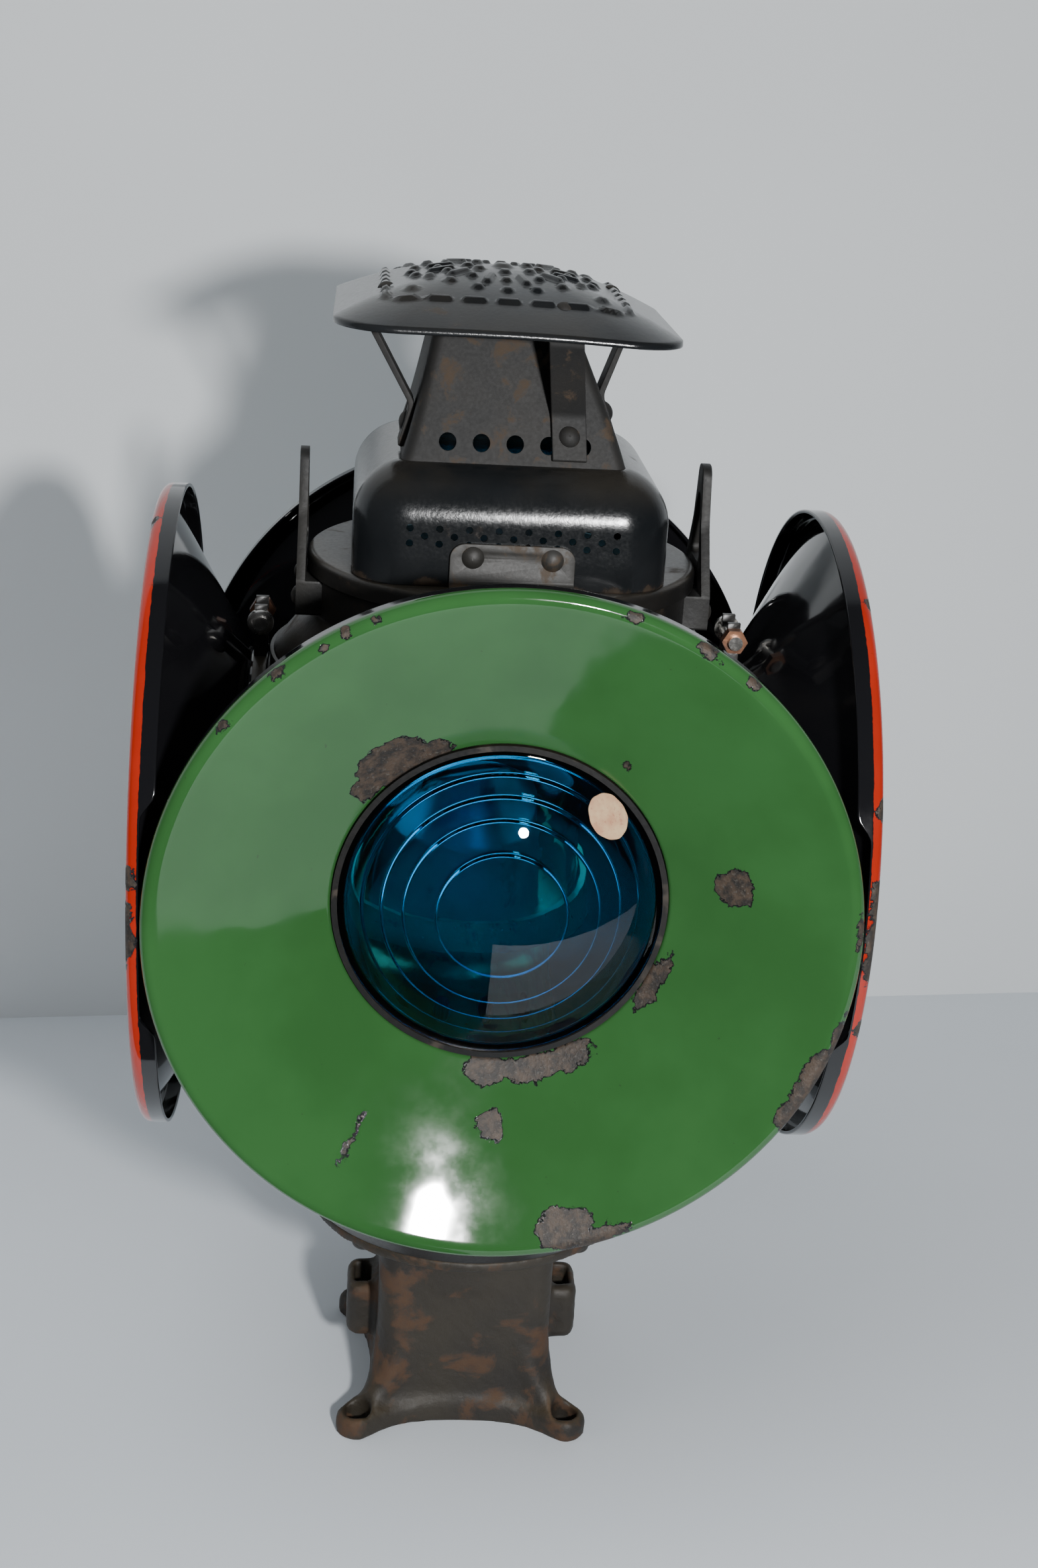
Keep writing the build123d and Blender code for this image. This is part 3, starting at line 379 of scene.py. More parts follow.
def linked(name, data, finish=None):
    """New object in the scene, with a finish if it is a mesh."""
    made = bpy.data.objects.new(name, data)
    bpy.context.scene.collection.objects.link(made)
    if finish:
        data.materials.append(bpy.data.materials[finish])
    return made


def standing_for(piece, *nodes):
    """The piece, put on the body of the CAD nodes that it replaces, which are hidden."""
    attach(piece, body_of(nodes[0]))
    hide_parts(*nodes)
    return piece


def new_piece(name, points, faces, finish, *nodes):
    """Object that stands for CAD nodes."""
    return standing_for(linked(name, new_mesh(name, points, faces), finish), *nodes)


def baked_modifiers(piece):
    """Puts the result of a piece's modifiers in its mesh and removes them."""
    graph = bpy.context.evaluated_depsgraph_get()
    mesh = bpy.data.meshes.new_from_object(piece.evaluated_get(graph))
    piece.modifiers.clear()
    piece.data = mesh
    mesh.polygons.foreach_set("use_smooth", np.ones(len(mesh.polygons), bool))
    return piece


def pierced(piece, centres, ways, radius, depth):
    """Cuts round holes through a piece: short pegs at the centres, along the ways, taken away."""
    turn = np.linspace(0, 2 * np.pi, 20, endpoint=False)
    centres, ways = np.asarray(centres, float), unit(np.asarray(ways, float))
    up = np.array([0.0, 0.0, 1.0])
    side = unit(np.cross(ways, up))
    round_way = side[:, None] * np.cos(turn)[:, None] + np.cross(ways, side)[:, None] * np.sin(turn)[:, None]
    rim = centres[:, None] + round_way * radius
    ends = np.stack([rim - ways[:, None] * depth, rim + ways[:, None] * depth], 1)
    n = len(turn)
    base = (np.arange(len(centres)) * 2 * n)[:, None, None]
    k, over = np.arange(n), (np.arange(n) + 1) % n
    wall = (base + np.stack([k, over, n + over, n + k], 1)).reshape(-1, 4)
    lids = np.vstack([base[:, 0] + k[::-1], base[:, 0] + n + k])
    pegs = linked("pegs", new_mesh("pegs", ends.reshape(-1, 3), [wall, lids]))
    cut = piece.modifiers.new("holes", "BOOLEAN")
    cut.operation, cut.solver, cut.object = "DIFFERENCE", "EXACT", pegs
    baked_modifiers(piece)
    piece.data.set_sharp_from_angle(angle=math.radians(40))
    bpy.data.objects.remove(pegs)
    return piece


def softened(node, finish, width=0.35 * MM):
    """Copy of a machined or cast node with its sharp edges rounded by a bevel."""
    piece = frame["nodes"][node].copy()
    piece.data = frame["nodes"][node].data.copy()
    del piece["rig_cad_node"]
    piece.name = f"{node}_eased"
    bpy.context.scene.collection.objects.link(piece)
    weld = piece.modifiers.new("weld", "WELD")
    weld.merge_threshold = 0.01 * MM
    flat = piece.modifiers.new("flat", "DECIMATE")
    flat.decimate_type, flat.angle_limit = "DISSOLVE", math.radians(1)
    ease = piece.modifiers.new("ease", "BEVEL")
    ease.width, ease.segments, ease.limit_method = width, 3, "ANGLE"
    ease.angle_limit, ease.harden_normals = math.radians(32), True
    baked_modifiers(piece)
    piece.data.materials.clear()
    piece.data.materials.append(bpy.data.materials[finish])
    return standing_for(piece, node)


# ------------------------------------------------------------------ finishes
class Finish:
    """One material, built up from short calls."""

    def __init__(self, name):
        self.material = bpy.data.materials.new(name)
        self.material.use_nodes = True
        self.tree = self.material.node_tree
        self.shader = self.tree.nodes["Principled BSDF"]
        self.place = self.add("TexCoord").outputs["Object"]

    def add(self, kind, inputs=None, **settings):
        """Adds a node, with sockets given by name or number."""
        node = self.tree.nodes.new("ShaderNode" + kind)
        for key, value in settings.items():
            setattr(node, key, value)
        for key, value in (inputs or {}).items():
            if isinstance(value, bpy.types.NodeSocket):
                self.tree.links.new(value, node.inputs[key])
            else:
                node.inputs[key].default_value = value
        return node

    def set(self, **values):
        """Sets the shader's own sockets, named with underscores for spaces."""
        for key, value in values.items():
            socket = self.shader.inputs[key.replace("_", " ")]
            if isinstance(value, bpy.types.NodeSocket):
                self.tree.links.new(value, socket)
            else:
                socket.default_value = (*value, 1) if isinstance(value, tuple) else value
        return self

    def noise(self, size, detail=4.0, rough=0.55, warp=0.0, place=None):
        """Noise whose largest marks are about as big as the size."""
        inputs = {"Vector": place or self.place, "Scale": 1 / size, "Detail": detail, "Roughness": rough,
                  "Distortion": warp}
        return self.add("TexNoise", inputs).outputs["Fac"]

    def spread(self, value, low, high, start=0.0, end=1.0):
        """Smooth change from start to end as the value goes from low to high."""
        inputs = {"Value": value, "From Min": low, "From Max": high, "To Min": start, "To Max": end}
        return self.add("MapRange", inputs, interpolation_type="SMOOTHSTEP").outputs["Result"]

    def sum(self, operation, a, b):
        """Arithmetic on two values."""
        return self.add("Math", {0: a, 1: b}, operation=operation).outputs[0]

    def mixed(self, share, a, b):
        """Colour between a and b."""
        a, b = ((*c, 1) if isinstance(c, tuple) else c for c in (a, b))
        return self.add("Mix", {0: share, 6: a, 7: b}, data_type="RGBA").outputs[2]

    def attribute(self, name):
        """Value that a mesh carries at its points."""
        return self.add("Attribute", attribute_name=name).outputs["Fac"]

    def height(self):
        """Height above the ground on the resting lamp."""
        return self.add("SeparateXYZ", {0: self.place}).outputs["Z"]

    def upward(self):
        """How far the surface looks up, from -1 to 1, on the resting lamp."""
        normal = self.add("TexCoord").outputs["Normal"]
        return self.add("SeparateXYZ", {0: normal}).outputs["Z"]

    def bumped(self, *heights):
        """Bump from pairs of a height value and its depth."""
        normal = None
        for value, depth in heights:
            inputs = {"Height": value, "Distance": depth, "Strength": 1.0}
            if normal is not None:
                inputs["Normal"] = normal
            normal = self.add("Bump", inputs).outputs["Normal"]
        return self.set(Normal=normal)


def worn_metal(name, colour, tone, stain, cover, rough, stained_rough, size, metal=0.0, grain=1.2 * MM,
               depth=0.05 * MM, dust=None, dust_share=0.0, band=None):
    """Painted or bare metal: two tones in soft clouds, stains with ragged edges, grain and settled dust."""
    f = Finish(name)
    clouds = f.spread(f.noise(size * 2.2, 3), 0.35, 0.65)
    ragged = f.noise(size, 9, 0.62, 0.4)
    source = ragged
    if band:
        source = f.sum("ADD", ragged, f.spread(f.height(), *band, 0.24, 0.0))
    stains = f.spread(source, 1 - cover - 0.07, 1 - cover + 0.07)
    fine = f.noise(grain, 6, 0.6)
    base = f.mixed(clouds, colour, tone)
    shade = f.mixed(f.spread(fine, 0.3, 0.7), base, f.mixed(stains, base, stain))
    paint = f.mixed(f.sum("MULTIPLY", stains, 0.85), shade, stain)
    if dust:
        patches = f.spread(f.noise(size * 1.6, 6), 0.3, 0.75)
        lying = f.sum("MULTIPLY", f.spread(f.upward(), 0.2, 0.95), patches)
        paint = f.mixed(f.sum("MULTIPLY", lying, dust_share), paint, dust)
    worn = f.spread(stains, 0, 1, rough, stained_rough)
    rough = f.sum("ADD", worn, f.spread(fine, 0.2, 0.8, -0.04, 0.06))
    f.set(Base_Color=paint, Metallic=metal, Roughness=rough)
    return f.bumped((fine, depth), (ragged, depth * 2.5))


def enamel(name, colour):
    """Glossy enamel over a black ground coat: colour on the front, black behind, chipped to brown iron.

    The mesh carries two lengths: bare, from the nearest chip's edge, and front, from the colour's edge."""
    f = Finish(name)
    ragged = f.sum("SUBTRACT", f.noise(5 * MM, 8, 0.65, 0.3), 0.5)
    fine = f.noise(1.1 * MM, 5, 0.6)
    edge = f.sum("ADD", f.attribute("bare"), f.sum("MULTIPLY", ragged, 9 * MM))
    bare = f.spread(edge, 0.10 * MM, -0.10 * MM)
    ground = f.spread(edge, 0.75 * MM, 0.45 * MM)
    brushed = f.sum("ADD", f.attribute("front"), f.sum("MULTIPLY", ragged, 1.2 * MM))
    front = f.spread(brushed, -0.08 * MM, 0.08 * MM)
    deep = tuple(c * 0.90 for c in colour)
    pale = tuple(min(1.0, c * 1.06 + 0.002) for c in colour)
    clouds = f.mixed(f.spread(f.noise(60 * MM, 4), 0.35, 0.65), deep, pale)
    specks = f.spread(f.noise(2.6 * MM, 2), 0.74, 0.80)
    face = f.mixed(f.sum("MULTIPLY", specks, 0.55), clouds, (0.02, 0.03, 0.015))
    sides = f.mixed(front, (0.006, 0.006, 0.007), face)
    coat = f.mixed(ground, sides, (0.010, 0.010, 0.011))
    blotch = f.spread(f.noise(4 * MM, 7, 0.65), 0.38, 0.62)
    rust = f.mixed(blotch, (0.014, 0.011, 0.009), (0.050, 0.032, 0.020))
    rust = f.mixed(f.spread(fine, 0.55, 0.75), rust, (0.075, 0.066, 0.055))
    haze = f.spread(f.noise(26 * MM, 6, 0.6), 0.35, 0.7, 0.045, 0.11)
    rough = f.add("Mix", {0: bare, 2: haze, 3: 0.62}).outputs[0]
    f.set(Base_Color=f.mixed(bare, coat, rust), Roughness=rough, IOR=1.55)
    ripple = f.noise(34 * MM, 2, 0.4)
    rough_iron = f.sum("MULTIPLY", fine, bare)
    sunk = f.spread(edge, -0.25 * MM, 0.45 * MM)
    return f.bumped((ripple, 0.35 * MM), (sunk, 0.45 * MM), (rough_iron, 0.25 * MM))


def lens_glass(name, colour):
    """Pressed blue-green glass with a faint waviness."""
    f = Finish(name)
    f.set(Base_Color=tuple(colour), Roughness=0.015, IOR=1.5, Transmission_Weight=1.0)
    return f.bumped((f.noise(12 * MM, 2), 0.03 * MM))


def clear_glass(name):
    """Thin clear glass with a grey film of soot."""
    f = Finish(name)
    soot = f.spread(f.noise(18 * MM, 5), 0.35, 0.75)
    f.set(Base_Color=f.mixed(soot, (0.93, 0.95, 0.94), (0.55, 0.52, 0.47)), Roughness=0.05, IOR=1.5,
          Transmission_Weight=1.0)
    return f.bumped((f.noise(9 * MM, 2), 0.02 * MM))


def fibres(name, colour, tone, size, across):
    """Felt, cotton or cork: grain drawn out along one way, matt, with a little sheen."""
    f = Finish(name)
    drawn = f.add("Mapping", {0: f.place, 3: across}).outputs[0]
    threads = f.noise(size, 6, 0.6, 0.2, drawn)
    f.set(Base_Color=f.mixed(f.spread(threads, 0.3, 0.7), colour, tone), Roughness=0.92, Sheen_Weight=0.25)
    return f.bumped((threads, 0.25 * MM))


def sticker_paper(name):
    """Old blank paper, browned at its edge and worn through in specks."""
    f = Finish(name)
    blotch = f.spread(f.noise(6 * MM, 6), 0.35, 0.7)
    worn = f.spread(f.noise(1.6 * MM, 5, 0.6), 0.56, 0.64)
    paper = f.mixed(blotch, (0.50, 0.35, 0.20), (0.40, 0.21, 0.12))
    f.set(Base_Color=f.mixed(f.sum("MULTIPLY", worn, 0.5), paper, (0.30, 0.10, 0.07)), Roughness=0.75)
    return f.bumped((f.noise(0.9 * MM, 4), 0.05 * MM))


class LAMP_OT_finishes(bpy.types.Operator):
    """Makes every finish and gives the CAD nodes theirs"""

    bl_idname = "lamp.finishes"
    bl_label = "Finishes"

    def execute(self, context):
        """Makes one material per slot of the record and assigns it to the nodes of that slot."""
        colours = context.scene.lamp_colours
        black, soot = (0.007, 0.007, 0.007), (0.034, 0.024, 0.016)
        rust, soil, ochre = (0.060, 0.030, 0.014), (0.085, 0.068, 0.045), (0.075, 0.054, 0.026)
        seat_band = (SEAT_Z, SEAT_Z + 6 * MM)
        enamel("green_enamel_finish", tuple(colours.green))
        enamel("red_enamel_finish", tuple(colours.red))
        # name, colour, second tone, stain, share stained, roughness clean and stained, marks' size, the rest
        metals = (
            ("black_paint", black, (0.012, 0.011, 0.010), soot, 0.36, 0.36, 0.62, 16,
             {"dust": soil, "dust_share": 0.35}),
            # The faint blue in satin_black's colour and second tone is painted sheen: reflected light
            # painted into the black.
            ("satin_black", (0.006, 0.007, 0.008), (0.011, 0.012, 0.013), soot, 0.28, 0.19, 0.45, 20,
             {"dust": soil, "dust_share": 0.18, "band": seat_band}),
            ("sooty_black", black, (0.011, 0.010, 0.009), (0.046, 0.029, 0.016), 0.37, 0.68, 0.80, 9,
             {"dust": soil, "dust_share": 0.2}),
            ("rusty_iron", (0.024, 0.019, 0.012), (0.015, 0.012, 0.009), rust, 0.42, 0.58, 0.78, 17,
             {"grain": 2.4 * MM, "depth": 0.22 * MM, "dust": ochre, "dust_share": 0.55}),
            ("cast_black", black, (0.012, 0.011, 0.009), rust, 0.28, 0.60, 0.75, 12,
             {"grain": 1.8 * MM, "depth": 0.12 * MM}),
            ("rusty_steel", (0.024, 0.023, 0.021), (0.016, 0.015, 0.013), (0.046, 0.030, 0.017), 0.42, 0.55,
             0.72, 9, {"depth": 0.06 * MM}),
            ("steel_bolts", (0.48, 0.47, 0.45), (0.30, 0.29, 0.27), (0.10, 0.065, 0.04), 0.34, 0.22, 0.5, 5,
             {"metal": 0.9}),
            ("coppered_nuts", (0.34, 0.17, 0.10), (0.22, 0.11, 0.07), (0.07, 0.04, 0.03), 0.36, 0.32, 0.6, 5,
             {"metal": 0.8}),
            ("tinplate", (0.42, 0.42, 0.41), (0.30, 0.30, 0.29), (0.10, 0.07, 0.045), 0.38, 0.34, 0.6, 15,
             {"metal": 0.85}),
            ("brass", (0.50, 0.34, 0.12), (0.36, 0.22, 0.08), (0.10, 0.06, 0.03), 0.38, 0.30, 0.55, 8,
             {"metal": 0.9}),
        )
        for name, *looks, size, more in metals:
            worn_metal(name + "_finish", *looks, size * MM, **more)
        fibres("felt_finish", (0.05, 0.048, 0.045), (0.10, 0.095, 0.085), 1.5 * MM, (1, 1, 3))
        fibres("wick_cotton_finish", (0.62, 0.58, 0.48), (0.38, 0.33, 0.25), 1.2 * MM, (4, 1, 1))
        fibres("cork_finish", (0.42, 0.26, 0.13), (0.22, 0.12, 0.06), 2.0 * MM, (1, 1, 1))
        clear_glass("clear_glass_finish")
        lens_glass("blue_green_glass_finish", tuple(colours.glass))
        sticker_paper("sticker_paper")
        for row in frame["record"]["subparts"]:
            mesh = frame["nodes"][row["node"]].data
            mesh.materials.clear()
            mesh.materials.append(bpy.data.materials[row["material_slot"] + "_finish"])
        return {"FINISHED"}


# ------------------------------------------------------------------ day targets
# Chips of each target: angle from its right in degrees, radius, length round it and width, in millimetres
CHIPS = {
    "front": ((127, 62, 24, 19), (115, 58, 12, 9), (138, 60, 9, 10), (-26, 58, 18, 7), (-76, 59.5, 34, 8),
              (-92, 59, 13, 10), (-64, 59, 17, 8), (10, 76, 13, 13), (-90, 75, 8, 10), (-76, 106, 18, 14),
              (-71, 111, 20, 7), (-24, 112, 26, 8), (-16, 113.5, 14, 5), (-31, 112, 12, 7), (60, 113, 7, 4),
              (51, 113, 4, 3), (73, 112.5, 4, 3), (130, 113, 4, 3), (142, 113, 4, 3), (122, 111.5, 3, 3),
              (118, 113, 3, 3), (113, 113, 3, 3), (4, 113, 9, 3), (54, 64, 2, 2), (-121, 89, 1.4, 9)),
    "right": ((180, 112, 26, 8), (172, 113, 14, 6), (158, 113, 6, 4), (196, 113, 5, 4), (120, 113, 5, 4),
              (70, 112, 8, 6), (0, 112, 20, 7), (-60, 90, 10, 9), (35, 60, 16, 8)),
    "back": ((0, 112, 22, 7), (183, 112, 24, 7), (-110, 112, 16, 7), (80, 113, 6, 4), (60, 84, 12, 11),
             (-45, 60, 24, 9), (150, 59, 14, 7)),
    "left": ((-2, 112, 18, 7), (8, 113, 7, 5), (182, 112, 22, 7), (75, 113, 5, 4), (-80, 112, 9, 6),
             (-130, 80, 9, 9), (100, 60, 18, 8)),
}


def target_section(sizes):
    """Section of a day target as (radius, outwards): collar, dish, rolled rim and skirt.

    The dish's slope is tangent to the roll and brings the rim to the target's plane."""
    wall, roll = sizes.target_sheet, sizes.rim_roll
    collar = BARREL_R + 0.2 * MM + wall / 2
    rim = TARGET_R - wall / 2
    face = TARGET_BACK + 6.5 * MM
    run, rise = rim - roll - collar, TARGET_PLANE - wall / 2 - roll - face
    slope = math.atan2(rise, run) + math.asin(roll / math.hypot(rise, run))
    corner = face + (rim - collar) * math.tan(slope)
    line = [(collar, TARGET_BACK), (collar, face), (rim, corner), (rim, TARGET_PLANE - sizes.rim_skirt)]
    return sheet_loop(line, wall, [wall, roll])


def day_target(side, number, sizes):
    """Day target: its section spun about the lens axis, the skirt squeezed towards the roll beside
    its neighbours, with the lengths to its chips and to the colour's edge on each point."""
    section = densed(target_section(sizes), 1.6 * MM)
    steps = 384
    grid = spun(section, steps)
    turn = np.linspace(0, 2 * np.pi, steps, endpoint=False)
    roll_end = TARGET_PLANE - sizes.target_sheet / 2 - sizes.rim_roll
    skirt_end = TARGET_PLANE - sizes.rim_skirt
    beside = 1 - smooth((np.abs(TARGET_R * np.sin(turn)) - sizes.rim_cut) / (8 * MM))
    keep = 1 - beside * (TARGET_R + SQUEEZE - skirt_end) / (roll_end - skirt_end)
    height = grid[..., 2]
    skirt = (section[:, 0] > TARGET_R - 1.5 * sizes.target_sheet) & (section[:, 1] < roll_end)
    squeezed = roll_end - (roll_end - height) * keep
    grid[..., 2] = np.where(skirt[:, None], squeezed, height)
    out = section[:, 0]
    away = smooth((out - BARREL_R - 4 * MM) / (20 * MM)) * smooth((TARGET_R - out) / (25 * MM))
    dent = 0.35 * MM
    grid[..., 2] += dent * away[:, None] * np.sin(3 * turn + number)
    step = np.linalg.norm(np.roll(section, -1, 0) - section, axis=1)
    along = step.sum() - np.cumsum(np.concatenate([[0], step[:-1]]))
    crest = np.argmax(np.where(section[:, 1] > roll_end, section[:, 1], 0))
    outer = np.argmax(np.where(along < along[crest], -1, out * (section[:, 1] > roll_end - 0.2 * MM)))
    face = np.flatnonzero((along <= along[outer]) & (section[:, 1] > TARGET_BACK + 6 * MM))
    face = face[np.argsort(out[face])]
    chips = np.array(CHIPS[side], float)
    radius = chips[:, 1] * MM
    at = np.interp(radius, out[face], along[face])
    swing = (turn[None] - np.radians(chips[:, :1]) + np.pi) % (2 * np.pi) - np.pi
    round_way = swing * radius[:, None] / (chips[:, 2:3] * MM / 2)
    across = (along[None] - at[:, None]) / (chips[:, 3:] * MM / 2)
    least = chips[:, 2:].min(1)[:, None, None] * MM / 2
    bare = ((np.hypot(across[:, :, None], round_way[:, None]) - 1) * least).min(0)
    front = np.broadcast_to((along[outer] + 0.6 * MM - along)[:, None], bare.shape)
    points, faces = skin(grid)
    slot = slot_of(f"day_target_{side}")
    piece = new_piece(f"enamel_target_{side}", on_side(points, number), faces, slot + "_finish",
                      f"day_target_{side}")
    for name, values in (("bare", bare), ("front", front)):
        layer = piece.data.attributes.new(name, "FLOAT", "POINT")
        layer.data.foreach_set("value", values.astype(np.float32).ravel())
    return piece


class LAMP_OT_day_targets(bpy.types.Operator):
    """Makes the four enamelled day targets"""

    bl_idname = "lamp.day_targets"
    bl_label = "Day targets"

    def execute(self, context):
        """One dished, rolled sheet for each side."""
        for number, side in enumerate(SIDES):
            day_target(side, number, context.scene.lamp_sizes)
        return {"FINISHED"}


# ------------------------------------------------------------------ lenses
def lens_crown():
    """Radius and centre height of the lens's outer face, a sphere through its edge and its middle."""
    sight = LENS_RIM_R - LENS_LIP
    bulge = LENS_CROWN - LENS_SEAT
    radius = (sight**2 + bulge**2) / (2 * bulge)
    return sight, radius, LENS_CROWN - radius


def lens_section():
    """Section of a lens from the middle of its back to the middle of its front, as (radius, outwards).

    The back is a stair of flat treads that follows the crown; the front is an arc."""
    sight, radius, centre = lens_crown()
    back = -lens_high.y
    edges = np.array([0.40, 0.60, 0.73, 0.85, 0.95]) * sight
    web = 4.8 * MM
    treads = centre + np.sqrt(radius**2 - edges**2) - web
    stair = np.stack([np.repeat(edges, 2), np.stack([treads, np.append(treads[1:], back)], 1).ravel()], 1)
    stair[:, 1] = np.maximum(stair[:, 1], back)
    rim = [(LENS_RIM_R, back), (LENS_RIM_R, LENS_SEAT), (sight, LENS_SEAT)]
    corners = np.vstack([[(0, treads[0])], stair, rim])
    path = rounded_path(corners, 0.3 * MM, closed=False, steps=4, hold=0.2 * MM)
    half = math.asin(sight / radius)
    turn = np.linspace(half, 0, 40)[1:]
    return np.vstack([path, np.stack([radius * np.sin(turn), centre + radius * np.cos(turn)], 1)])


def lens(side, number):
    """Stepped lens: its section spun about the lens axis."""
    points, faces = skin(spun(lens_section(), 160), wrap=False)
    return new_piece(f"stepped_lens_{side}", on_side(points, number), faces, "blue_green_glass_finish",
                     f"lens_{side}")


def sticker():
    """Round paper sticker pressed on the front lens: a disc of points on the crown's sphere, and
    the same disc a paper's thickness further out."""
    _, radius, centre = lens_crown()
    middle = np.array([32.9, 33.2]) * MM
    share = np.concatenate([np.linspace(0, 0.97, 9), [1.0]])
    turn = np.linspace(0, 2 * np.pi, 72, endpoint=False)
    wobble = 1 + 0.012 * np.sin(5 * turn) + 0.008 * np.sin(11 * turn + 1)
    along = share[:, None] * 8.0 * MM * wobble * np.cos(turn)
    across = share[:, None] * 5.6 * MM * wobble * np.sin(turn)
    u = middle[0] + 0.5**0.5 * (along * -0.92 - across * 1.08)
    v = middle[1] + 0.5**0.5 * (along * 1.08 - across * 0.92)
    grids = []
    for lift in (0.01 * MM, 0.16 * MM):
        height = centre + np.sqrt((radius + lift)**2 - u**2 - v**2)
        grids.append(np.stack([u, v, height], -1))
    points, faces = skin(np.concatenate([grids[0], grids[1][::-1]]), wrap=False)
    mesh = new_mesh("paper_sticker", on_side(points, 0), faces)
    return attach(linked("paper_sticker", mesh, "sticker_paper"), "lamp")


class LAMP_OT_lenses(bpy.types.Operator):
    """Makes the four stepped lenses and the sticker on the front one"""

    bl_idname = "lamp.lenses"
    bl_label = "Lenses"

    def execute(self, context):
        """One lens for each side, then the sticker."""
        for number, side in enumerate(SIDES):
            lens(side, number)
        sticker()
        return {"FINISHED"}


# ------------------------------------------------------------------ hood
def settled(points):
    """Points of the hood above the dome, moved as old knocks have left them.

    The move grows smoothly from nothing at the dome's neck to a few millimetres at the cap."""
    share = smooth((points[..., 2:] - NECK_Z) / (CAP_TOP - NECK_Z))
    tilt = np.clip(points[..., 2:] - CHIMNEY_TOP, 0, 2 * MM) / (2 * MM)
    shift = np.array([-5.0, 0.0, 0.0]) * MM * share
    lean = np.concatenate([np.zeros_like(tilt)] * 2 + [-0.022 * points[..., :1] * tilt], -1)
    return points + shift + lean


def dome_levels(sizes, inset):
    """Rows of (height, half width, corner radius) up the dome: an upright wall, then a crown whose
    height goes with the sine of the turn and whose width with its cosine."""
    neck_half, neck_corner, flare = DOME_HALF - 14.3 * MM, 5.1 * MM, 0.35 * MM
    sweep = math.radians(75)
    turn = np.linspace(0, sweep, 22)
    share = (1 - np.cos(turn)) / (1 - math.cos(sweep))
    wall_top = SEAT_Z + sizes.dome_wall
    z = wall_top + (NECK_Z - wall_top) * np.sin(turn) / math.sin(sweep)
    corner = sizes.dome_corner + (neck_corner - sizes.dome_corner) * share
    half = DOME_HALF + (neck_half - DOME_HALF) * share
    foot = [(SEAT_Z + rise, DOME_HALF - short, sizes.dome_corner)
            for rise, short in ((0, flare), (0.5 * MM, 0), (10 * MM, 0))]
    rows = np.vstack([foot, np.stack([z, half, corner], 1)])
    return rows - np.array([0, inset, inset])


def on_four_faces(spots):
    """Centres and ways outwards of holes drawn on the front, repeated on the four faces."""
    out = np.tile([0.0, -1.0, 0.0], (len(spots), 1))
    return np.vstack([facing(spots, n) for n in range(4)]), np.vstack([facing(out, n) for n in range(4)])


def dome_holes(sizes):
    """Centres and ways of the vent holes: three staggered rows on each face."""
    spots = []
    for row, count in enumerate((8, 7, 8)):
        x = (np.arange(count) - (count - 1) / 2) * 9.65 * MM
        z = np.full(count, SEAT_Z + sizes.dome_wall - (0.8 + 2.5 * row) * MM)
        spots.append(np.stack([x, np.full(count, -DOME_HALF), z], 1))
    return on_four_faces(np.vstack(spots))


def dome(sizes):
    """Ventilator dome: rounded squares up the outside and back down the inside."""
    outer, inner = dome_levels(sizes, 0), dome_levels(sizes, sizes.hood_sheet)
    grid = square_stack(np.vstack([outer, inner[::-1]]), 36, 14)
    points, faces = skin(grid)
    piece = new_piece("vented_dome", points, faces, "satin_black_finish", "ventilator_dome")
    return pierced(piece, *dome_holes(sizes), 1.2 * MM, 4 * MM)


def chimney(sizes):
    """Tapered square chimney with a row of draught holes in each face."""
    low, high = chimney_low.z, CHIMNEY_TOP
    foot_half, mouth_half = chimney_high.x, chimney_high.x - CHIMNEY_SLOPE * (high - low)
    z = np.linspace(low, high, 14)
    half = np.interp(z, [low, high], [foot_half, mouth_half])
    outer = np.stack([z, half, np.full_like(z, 4 * MM)], 1)
    inner = outer - np.array([0, 1, 1]) * sizes.hood_sheet
    points, faces = skin(square_stack(np.vstack([outer, inner[::-1]]), 24, 8))
    piece = new_piece("draught_chimney", settled(points), faces, "sooty_black_finish", "chimney")
    level = NECK_Z + 6.5 * MM
    x = (np.arange(5) - 2) * 11.1 * MM
    spots = np.stack([x, np.full(5, -np.interp(level, z, half)), np.full(5, level)], 1)
    return pierced(piece, *on_four_faces(spots), 2.9 * MM, 4 * MM)


def cap_relief(x, y):
    """Height, from 0 to 1, of a plain pattern of round pips and short bars in rings and rows."""
    height = np.zeros_like(x)

    def raise_spots(spots, radius):
        for sx, sy in spots:
            apart = np.hypot(x - sx * MM, y - sy * MM) / (radius * MM)
            np.maximum(height, smooth(1.6 - 1.6 * apart), out=height)

    def raise_bars(bars, width):
        for ax, ay, bx, by in bars:
            dx, dy = (bx - ax) * MM, (by - ay) * MM
            share = np.clip(((x - ax * MM) * dx + (y - ay * MM) * dy) / (dx * dx + dy * dy), 0, 1)
            apart = np.hypot(x - ax * MM - share * dx, y - ay * MM - share * dy) / (width * MM)
            np.maximum(height, smooth(1.6 - 1.6 * apart), out=height)

    def round_spots(count, radius, start=0.0):
        turn = 2 * np.pi * (np.arange(count) + start) / count
        return np.stack([radius * np.cos(turn), radius * np.sin(turn)], 1)

    raise_spots([(0, 0)], 4.5)
    raise_spots(round_spots(8, 12), 2.8)
    raise_bars(np.hstack([round_spots(12, 18.5, 0.5), round_spots(12, 25, 0.5)]), 2.0)
    raise_spots(round_spots(12, 22), 2.4)
    raise_spots(round_spots(20, 31), 2.6)
    rows = np.arange(-33, 34, 11.0)
    for out in (-39.5, 39.5):
        along = np.stack([rows - 2.6, np.full_like(rows, out), rows + 2.6, np.full_like(rows, out)], 1)
        raise_bars(along, 1.8)
        raise_bars(along[:, [1, 0, 3, 2]], 1.8)
    raise_spots([(sx * 31, sy * 31) for sx in (-1, 1) for sy in (-1, 1)], 3.0)
    return height


